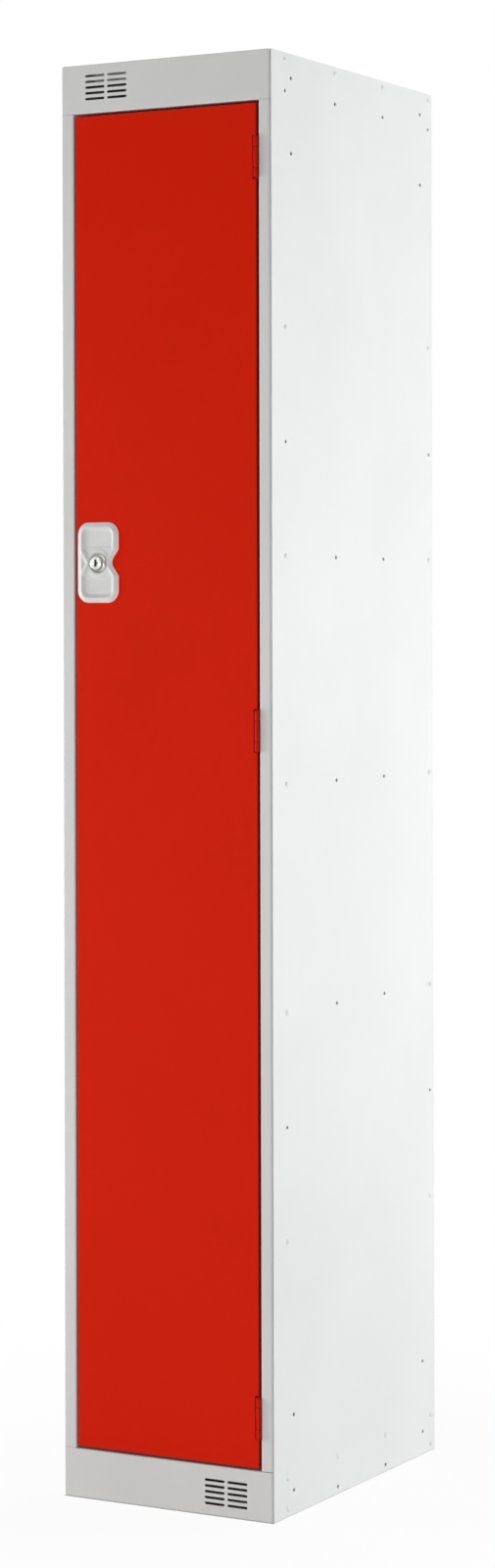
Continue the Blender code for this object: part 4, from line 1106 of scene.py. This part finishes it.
def inside_distance(points, outline):
    """Distance of points from a closed outline, positive inside it."""
    start = np.array([tuple(corner) for corner in outline])
    along = np.roll(start, -1, axis=0) - start
    keep = np.hypot(along[:, 0], along[:, 1]) > NEGLIGIBLE
    start, along = start[keep], along[keep]
    offset = points[:, None, :] - start
    share = np.clip((offset * along).sum(axis=2) / (along ** 2).sum(axis=1), 0.0, 1.0)
    nearest = np.linalg.norm(offset - share[:, :, None] * along, axis=2).min(axis=1)
    end_height = start[:, 1] + along[:, 1]
    crossing = (start[:, 1] > points[:, None, 1]) != (end_height > points[:, None, 1])
    rise = np.where(np.abs(along[:, 1]) < LEVEL, LEVEL, along[:, 1])
    hit = offset[:, :, 0] < offset[:, :, 1] * along[:, 0] / rise
    inside = (crossing & hit).sum(axis=1) % 2 == 1
    return np.where(inside, nearest, -nearest)


def resampled(outline, spacing):
    """Closed outline with points no further apart than a spacing."""
    points = []
    for first, second in zip(outline, outline[1:] + outline[:1]):
        length = (second - first).length
        if length > NEGLIGIBLE:
            count = max(1, round(length / spacing))
            points += [first.lerp(second, step / count) for step in range(count)]
    return points


def soft_lower(first, second, blend):
    """The lower of two heights, with the edge between them rounded."""
    share = np.clip(0.5 + 0.5 * (second - first) / blend, 0.0, 1.0)
    return second + (first - second) * share - blend * share * (1.0 - share)


def rib_pocket(points):
    """Depth of the sunk triangle between the left rim and the rib that runs to the lock."""
    left = HOUSING_LOW.x - LOCK_AXIS.x + RIM_SLOPE
    along = points[:, 0] - left
    spare = RIB_POCKET_HALF_HEIGHT * (1.0 - along / RIB_POCKET_REACH) - np.abs(points[:, 1])
    from_rib = spare * RIB_POCKET_REACH / math.hypot(RIB_POCKET_REACH, RIB_POCKET_HALF_HEIGHT)
    depth = soft_lower(RIM_FALL * along, RIB_FALL * from_rib, CREST_ROUND)
    return np.clip(depth, 0.0, RIB_POCKET_DEPTH)


def housing_height(points):
    """Height of the housing's front over the door's face: rim, dishes, rib pocket and lock seat."""
    edge = inside_distance(points, housing_outline(0.0, HOUSING_CORNER))
    outer = RIM_EDGE + edge * (HOUSING_RIM - RIM_EDGE) / RIM_SLOPE
    dish = inside_distance(points, housing_outline(DISH_INSET, DISH_CORNER, DISH_RIB))
    inner = HOUSING_RIM - dish * (HOUSING_RIM - DISH_FLOOR) / DISH_SLOPE
    crest = HOUSING_RIM + CREST_ROUND / 4
    height = soft_lower(outer, soft_lower(inner, crest, CREST_ROUND) - rib_pocket(points), CREST_ROUND)
    floor = DISH_FLOOR - PANEL_SINK * smooth_step((np.abs(points[:, 1]) - PANEL_EDGE) / CREST_ROUND)
    height = -soft_lower(-height, -floor, CREST_ROUND)
    radius = np.linalg.norm(points, axis=1)
    boss = smooth_step((BOSS_RADIUS + BOSS_SLOPE - radius) / BOSS_SLOPE)
    height = np.maximum(height, floor + boss * (BOSS_RISE - floor))
    height = np.where(radius < LOCK_SEAT_RADIUS, LOCK_SEAT, height)
    return np.minimum(height, HOUSING_RIM)


def circle(radius, count):
    return [Vector((radius * math.cos(turn), radius * math.sin(turn))) for turn in full_turn(count)]


def housing_triangles(outline):
    """Points and triangles over the housing: close rings at the rims and a grid between them."""
    bore = BARREL_RADIUS + SEAT_GAP
    radii = (bore, LOCK_SEAT_RADIUS - LOCK_SEAT_WALL, LOCK_SEAT_RADIUS + LOCK_SEAT_WALL)
    points = []
    edges = []
    for loop in (outline, *(circle(radius, LOCK_SEAT_SIDES) for radius in radii)):
        first = len(points)
        points += loop
        edges += [(first + step, first + (step + 1) % len(loop)) for step in range(len(loop))]
    normals = path_normals(outline, True)
    for inset in RIM_RINGS:
        points += [point - normal * inset for point, normal in zip(outline, normals)]
    columns = np.arange(HOUSING_LOW.x - LOCK_AXIS.x, HOUSING_HIGH.x - LOCK_AXIS.x, HOUSING_GRID)
    rows = np.arange(HOUSING_LOW.z - LOCK_AXIS.z, HOUSING_HIGH.z - LOCK_AXIS.z, HOUSING_GRID)
    across, up = np.meshgrid(columns, rows)
    grid = np.column_stack((across.ravel(), up.ravel()))
    radius = np.linalg.norm(grid, axis=1)
    clear = (inside_distance(grid, outline) > RIM_CLEARANCE) & (radius > bore + HOUSING_GRID / 2)
    clear &= np.abs(radius - LOCK_SEAT_RADIUS) > HOUSING_GRID / 2
    points += [Vector(place) for place in grid[clear]]
    result = delaunay_2d_cdt(points, edges, [], 0, NEGLIGIBLE)
    places = np.array([tuple(vert) for vert in result[0]])
    triangles = np.array(result[2])
    centres = places[triangles].mean(axis=1)
    inside = (inside_distance(centres, outline) > 0.0) & (np.linalg.norm(centres, axis=1) > bore)
    return places, triangles[inside]


def lock_housing():
    """Moulded plate on the door: sloping rim, two finger dishes and the lock's boss."""
    outline = resampled(housing_outline(0.0, HOUSING_CORNER, steps=10), OUTLINE_SPACING)
    places, triangles = housing_triangles(outline)
    front = -housing_height(places)
    back = np.maximum(front + HOUSING_WALL, -HOUSING_CLEARANCE)
    bm = bmesh.new()
    layers = [[bm.verts.new((LOCK_AXIS.x + x, FRONT + depth, LOCK_AXIS.z + z))
               for (x, z), depth in zip(places, depths)] for depths in (front, back)]
    for corners in triangles:
        for layer, order in ((layers[0], corners), (layers[1], corners[::-1])):
            bm.faces.new([layer[index] for index in order])
    steps = {(corners[index - 1], corners[index]) for corners in triangles.tolist() for index in range(3)}
    for first, second in steps:
        if (second, first) not in steps:
            bm.faces.new((layers[0][second], layers[0][first], layers[1][first], layers[1][second]))
    loose = [vert for vert in bm.verts if not vert.link_faces]
    bmesh.ops.delete(bm, geom=loose, context="VERTS")
    bmesh.ops.recalc_face_normals(bm, faces=bm.faces)
    hang(piece_from("lock_housing_plate", bm), "housing_plastic", "door", "lock_housing", smooth_angle=50)


# Cylinder lock


def on_lock_axis(name, profile, sides=64, closed=False):
    """Turn a profile about the lock's axis; its heights are distances in front of the origin."""
    return turned(name, profile, (LOCK_AXIS.x, 0.0, LOCK_AXIS.z), (0.0, -1.0, 0.0), sides, closed)


def lock_block(name, half_width, half_height, front, back, **rounding):
    """Box about the lock's axis, between two depths."""
    return rounded_box(name, (LOCK_AXIS.x - half_width, front, LOCK_AXIS.z - half_height),
                       (LOCK_AXIS.x + half_width, back, LOCK_AXIS.z + half_height), **rounding)


def hexagon(width, corner=0.0):
    radius = width / math.sqrt(3)
    return rounded_outline([(radius * math.cos(turn), radius * math.sin(turn), corner)
                            for turn in full_turn(6)], steps=3)


def lock_body():
    """Base ring in the housing's seat, and a threaded barrel behind it."""
    low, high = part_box("lock_body")
    front, back = -low.y, -high.y
    seat = LOCK_SEAT - FRONT
    bore = PLUG_RADIUS + SEAT_GAP
    profile = [(bore, front - 2 * THREAD_STEP), (bore + THREAD_STEP, front - THREAD_STEP)]
    profile += rounded_edge(RING_FLAT_RADIUS, front, RING_ROUND)
    profile += [(RING_RADIUS - RING_LIP, seat + RING_LIP_TOP), (RING_RADIUS, seat + RING_LIP_FOOT)]
    profile += [(RING_RADIUS, seat), (BARREL_RADIUS, seat)]
    for index in range(THREAD_RUNOUT, int((seat - back) / THREAD_STEP) - THREAD_RUNOUT):
        depth = THREAD_DEPTH if index % 2 else 0.0
        profile.append((BARREL_RADIUS - depth, seat - index * THREAD_STEP))
    profile += [(BARREL_RADIUS - THREAD_DEPTH, back), (bore, back)]
    body = on_lock_axis("lock_ring_and_barrel", profile, closed=True)
    hang(body, "nickel", "door", "lock_body", smooth_angle=40)


def lock_nut():
    """Hexagon nut with turned-off corners."""
    low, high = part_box("lock_nut")
    width = high.z - low.z
    front, back = -low.y, -high.y
    nut = on_lock_face("barrel_nut", hexagon(width), back, front)
    wide = width / math.sqrt(3) * NUT_CORNER_SHARE
    face = width / 2 * NUT_FACE_SHARE
    drop = (wide - face) * math.tan(math.radians(NUT_CHAMFER_DEGREES))
    corners = on_lock_axis("nut_corners", [(0.0, front), (face, front), (wide, front - drop),
                                           (wide, back + drop), (face, back), (0.0, back)])
    combine(nut, corners, operation="INTERSECT")
    before, behind = front + CUT_MARGIN, back - CUT_MARGIN
    bore = on_lock_axis("nut_bore", [(0.0, before), (BARREL_RADIUS, before), (BARREL_RADIUS, behind),
                                     (0.0, behind)])
    combine(nut, bore)
    hang(nut, "zinc_steel", "door", "lock_nut", smooth_angle=30)


def lock_plug():
    """Turning cylinder: bright face with a keyway, a black block of painted shade in the keyway, and a square
    spindle behind.
    """
    low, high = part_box("lock_plug")
    cam_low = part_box("lock_cam")[0]
    face = -low.y
    shoulder = -(cam_low.y - 2 * SEAT_GAP)
    profile = [(0.0, face - FACE_DISH), (FACE_DISH_RADIUS, face - FACE_DISH), (FACE_RIM_RADIUS, face)]
    profile += rounded_edge(PLUG_RADIUS, face, PLUG_ROUND, steps=6)
    profile += [(PLUG_RADIUS, shoulder), (0.0, shoulder)]
    plug = on_lock_axis("lock_cylinder_plug", profile)
    half = SPINDLE_WIDTH / 2
    spindle = lock_block("spindle", half, half, -shoulder - SPINDLE_WIDTH, high.y, radius=SPINDLE_ROUND,
                         segments=2)
    combine(plug, spindle, operation="UNION")
    slot = rectangle(KEYWAY_WIDTH, KEYWAY_HEIGHT, KEYWAY_ROUND)
    ward_half = WARD_HEIGHT / 2
    ward = rounded_outline([(0.0, -ward_half, 0.0), (KEYWAY_WIDTH, -ward_half, WARD_ROUND),
                            (KEYWAY_WIDTH, ward_half, WARD_ROUND), (0.0, ward_half, 0.0)])
    combine(plug, *(on_lock_face(name, outline, face - KEYWAY_DEPTH, face + CUT_MARGIN)
                    for name, outline in (("keyway", slot), ("ward", ward))))
    hang(plug, "nickel", "lock", "lock_plug", smooth_angle=35)
    # Painted shade: a black block behind the keyway's mouth stands in for the shade down in the keyway.
    keyway_shade_front = KEYWAY_SHADE_DEPTH - face
    keyway_shade_block = lock_block("keyway_shutter", KEYWAY_WIDTH, KEYWAY_SHADE_HALF_HEIGHT, keyway_shade_front,
                         keyway_shade_front + FACE_DISH)
    hang(keyway_shade_block, "black_rubber", "lock")


def lock_cam():
    """Flat cam that hangs down when unlocked and turns to the left behind the post's stop."""
    low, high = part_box("lock_cam")
    half = (high.x - low.x) / 2
    bottom = low.z - LOCK_AXIS.z
    tip_round, head_round = half * CAM_TIP_SHARE, half * CAM_HEAD_SHARE
    outline = rounded_outline([(-half, bottom, tip_round), (half, bottom, tip_round),
                               (half, half, head_round), (-half, half, head_round)], steps=8)
    cam = on_lock_face("cam_plate", outline, -high.y, -low.y)
    bevel = cam.modifiers.new("Edges", "BEVEL")
    bevel.width = CAM_BEVEL
    bevel.segments = 2
    bevel.limit_method = "ANGLE"
    bevel.angle_limit = math.radians(60)
    settle(cam)
    hole = SPINDLE_WIDTH / 2 + SEAT_GAP
    combine(cam, lock_block("square_hole", hole, hole, low.y - CUT_MARGIN, high.y + CUT_MARGIN))
    hang(cam, "zinc_steel", "lock", "lock_cam", smooth_angle=30)


def cam_screw():
    """Hexagon screw with a flange, and a cross recess in its head."""
    low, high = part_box("cam_screw")
    radius = (high.x - low.x) / 2
    tip, back = -low.y, -high.y
    seat = -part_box("lock_cam")[1].y - SEAT_GAP
    flange = seat - SCREW_FLANGE
    screw = on_lock_axis("cam_fixing_screw", [
        (0.0, tip), (SCREW_RADIUS - SCREW_CHAMFER, tip), (SCREW_RADIUS, tip - SCREW_CHAMFER),
        (SCREW_RADIUS, seat), (radius, seat), (radius, flange + FLANGE_CHAMFER),
        (radius - FLANGE_CHAMFER, flange), (0.0, flange)], sides=40)
    head = on_lock_face("hexagon_head", hexagon(radius * SCREW_HEAD_SHARE, SCREW_HEAD_ROUND), back,
                        seat - SCREW_FLANGE / 2)
    combine(screw, head, operation="UNION")
    arm = 2 * radius * CROSS_ARM_SHARE
    combine(screw, *(on_lock_face(name, rectangle(width, height), back - CUT_MARGIN, back + CROSS_DEPTH)
                     for name, width, height in (("cross_across", arm, CROSS_WIDTH),
                                                 ("cross_up", CROSS_WIDTH, arm))))
    hang(screw, "zinc_steel", "lock", "cam_screw", smooth_angle=35)


# Stage


def camera():
    data = bpy.data.cameras.new("photo_camera")
    data.sensor_width = SENSOR_WIDTH
    data.lens = FOCAL_PIXELS * SENSOR_WIDTH / FRAME_PIXELS
    data.shift_y = HORIZON_PIXEL / FRAME_PIXELS - 0.5
    eye = in_scene("photo_camera", data)
    level = Matrix.Rotation(CAMERA_YAW, 4, "Z") @ Matrix.Rotation(math.pi / 2, 4, "X")
    eye.matrix_world = Matrix.Translation(CAMERA_PLACE) @ level @ Matrix.Rotation(CAMERA_ROLL, 4, "Z")
    bpy.context.scene.camera = eye


def seen_directly(tree):
    """One for rays that show the backdrop as it is: from the camera, a mirror or glass."""
    rays = add_node(tree, "ShaderNodeLightPath", {})
    highest = rays["Is Camera Ray"]
    for name in ("Is Glossy Ray", "Is Transmission Ray"):
        highest = add_node(tree, "ShaderNodeMath", {0: highest, 1: rays[name]}, operation="MAXIMUM")["Value"]
    return highest


def white_world():
    world = bpy.data.worlds.new("white_studio")
    world.use_nodes = True
    tree = world.node_tree
    backdrop = tree.nodes["Background"]
    backdrop.inputs["Color"].default_value = WHITE
    backdrop.inputs["Strength"].default_value = 1.0
    glow = {"Color": WHITE, "Strength": WORLD_LIGHT}
    light = add_node(tree, "ShaderNodeBackground", glow)["Background"]
    mix = add_node(tree, "ShaderNodeMixShader", {
        "Fac": seen_directly(tree), 1: light, 2: backdrop.outputs["Background"]})["Shader"]
    tree.links.new(mix, tree.nodes["World Output"].inputs["Surface"])
    bpy.context.scene.world = world


def white_floor():
    """Pale floor that keeps the locker's shadow and fades to white away from it."""
    paint = Finish("studio_floor", Base_Color=FLOOR_COLOUR, Roughness=0.9, Specular_IOR_Level=0.0)
    beside = paint.place
    for operation, corner in (("ABSOLUTE", {}), ("SUBTRACT", {1: (SIDE, REAR, 0.0)}), ("MAXIMUM", {})):
        beside = paint.node("ShaderNodeVectorMath", {0: beside, **corner}, operation=operation)["Vector"]
    distance = paint.node("ShaderNodeVectorMath", {0: beside}, operation="LENGTH")["Value"]
    fade = paint.node("ShaderNodeMapRange", {
        "Value": distance, "From Max": SHADOW_REACH, "To Min": FLOOR_GLOW},
        interpolation_type="SMOOTHSTEP")["Result"]
    outside = paint.node("ShaderNodeMath", {0: distance, 1: FOOT_MARGIN}, operation="GREATER_THAN")["Value"]
    shown = seen_directly(paint.tree)
    for factor in (fade, outside):
        shown = paint.node("ShaderNodeMath", {0: shown, 1: factor}, operation="MULTIPLY")["Value"]
    glow = paint.node("ShaderNodeEmission", {})["Emission"]
    painted = paint.shader.outputs["BSDF"]
    mix = paint.node("ShaderNodeMixShader", {"Fac": shown, 1: painted, 2: glow})["Shader"]
    paint.tree.links.new(mix, paint.tree.nodes["Material Output"].inputs["Surface"])
    bm = bmesh.new()
    under = Matrix.Translation((0.0, 0.0, CAD_BOX[0].z - FLOOR_GAP))
    bmesh.ops.create_grid(bm, x_segments=1, y_segments=1, size=FLOOR_SIZE / 2, matrix=under)
    floor = piece_from("studio_floor", bm)
    floor.data.materials.append(paint.material)


def softbox(name, place, width, height, power):
    """Area lamp that is aimed at the middle of the locker."""
    data = bpy.data.lights.new(name, "AREA")
    data.shape = "RECTANGLE"
    data.size = width
    data.size_y = height
    data.energy = power
    aim = Vector((0.0, 0.0, HEIGHT / 2)) - Vector(place)
    turn = aim.to_track_quat("-Z", "Y").to_matrix().to_4x4()
    in_scene(name, data).matrix_world = Matrix.Translation(place) @ turn


def studio():
    bpy.context.scene.view_settings.view_transform = "Standard"
    camera()
    white_world()
    white_floor()
    softbox("front_softbox", place=(0.3, -4.2, 0.5), width=1.6, height=0.8, power=58.0)
    softbox("left_softbox", place=(-3.0, -1.35, 0.75), width=1.2, height=1.4, power=58.5)
    softbox("rear_softbox", place=(2.9, 2.5, 1.1), width=1.6, height=2.0, power=90.0)
    softbox("top_softbox", place=(0.0, -0.02, 4.0), width=0.8, height=0.8, power=24.0)


side_sheets()
back_sheet()
trays()
front_frame()
rivets()
coat_hook()
door_buffers()
door_pan()
stiffener()
hinges()
lock_housing()
lock_body()
lock_nut()
lock_plug()
lock_cam()
cam_screw()
discard(HOLE_GUIDE)
studio()
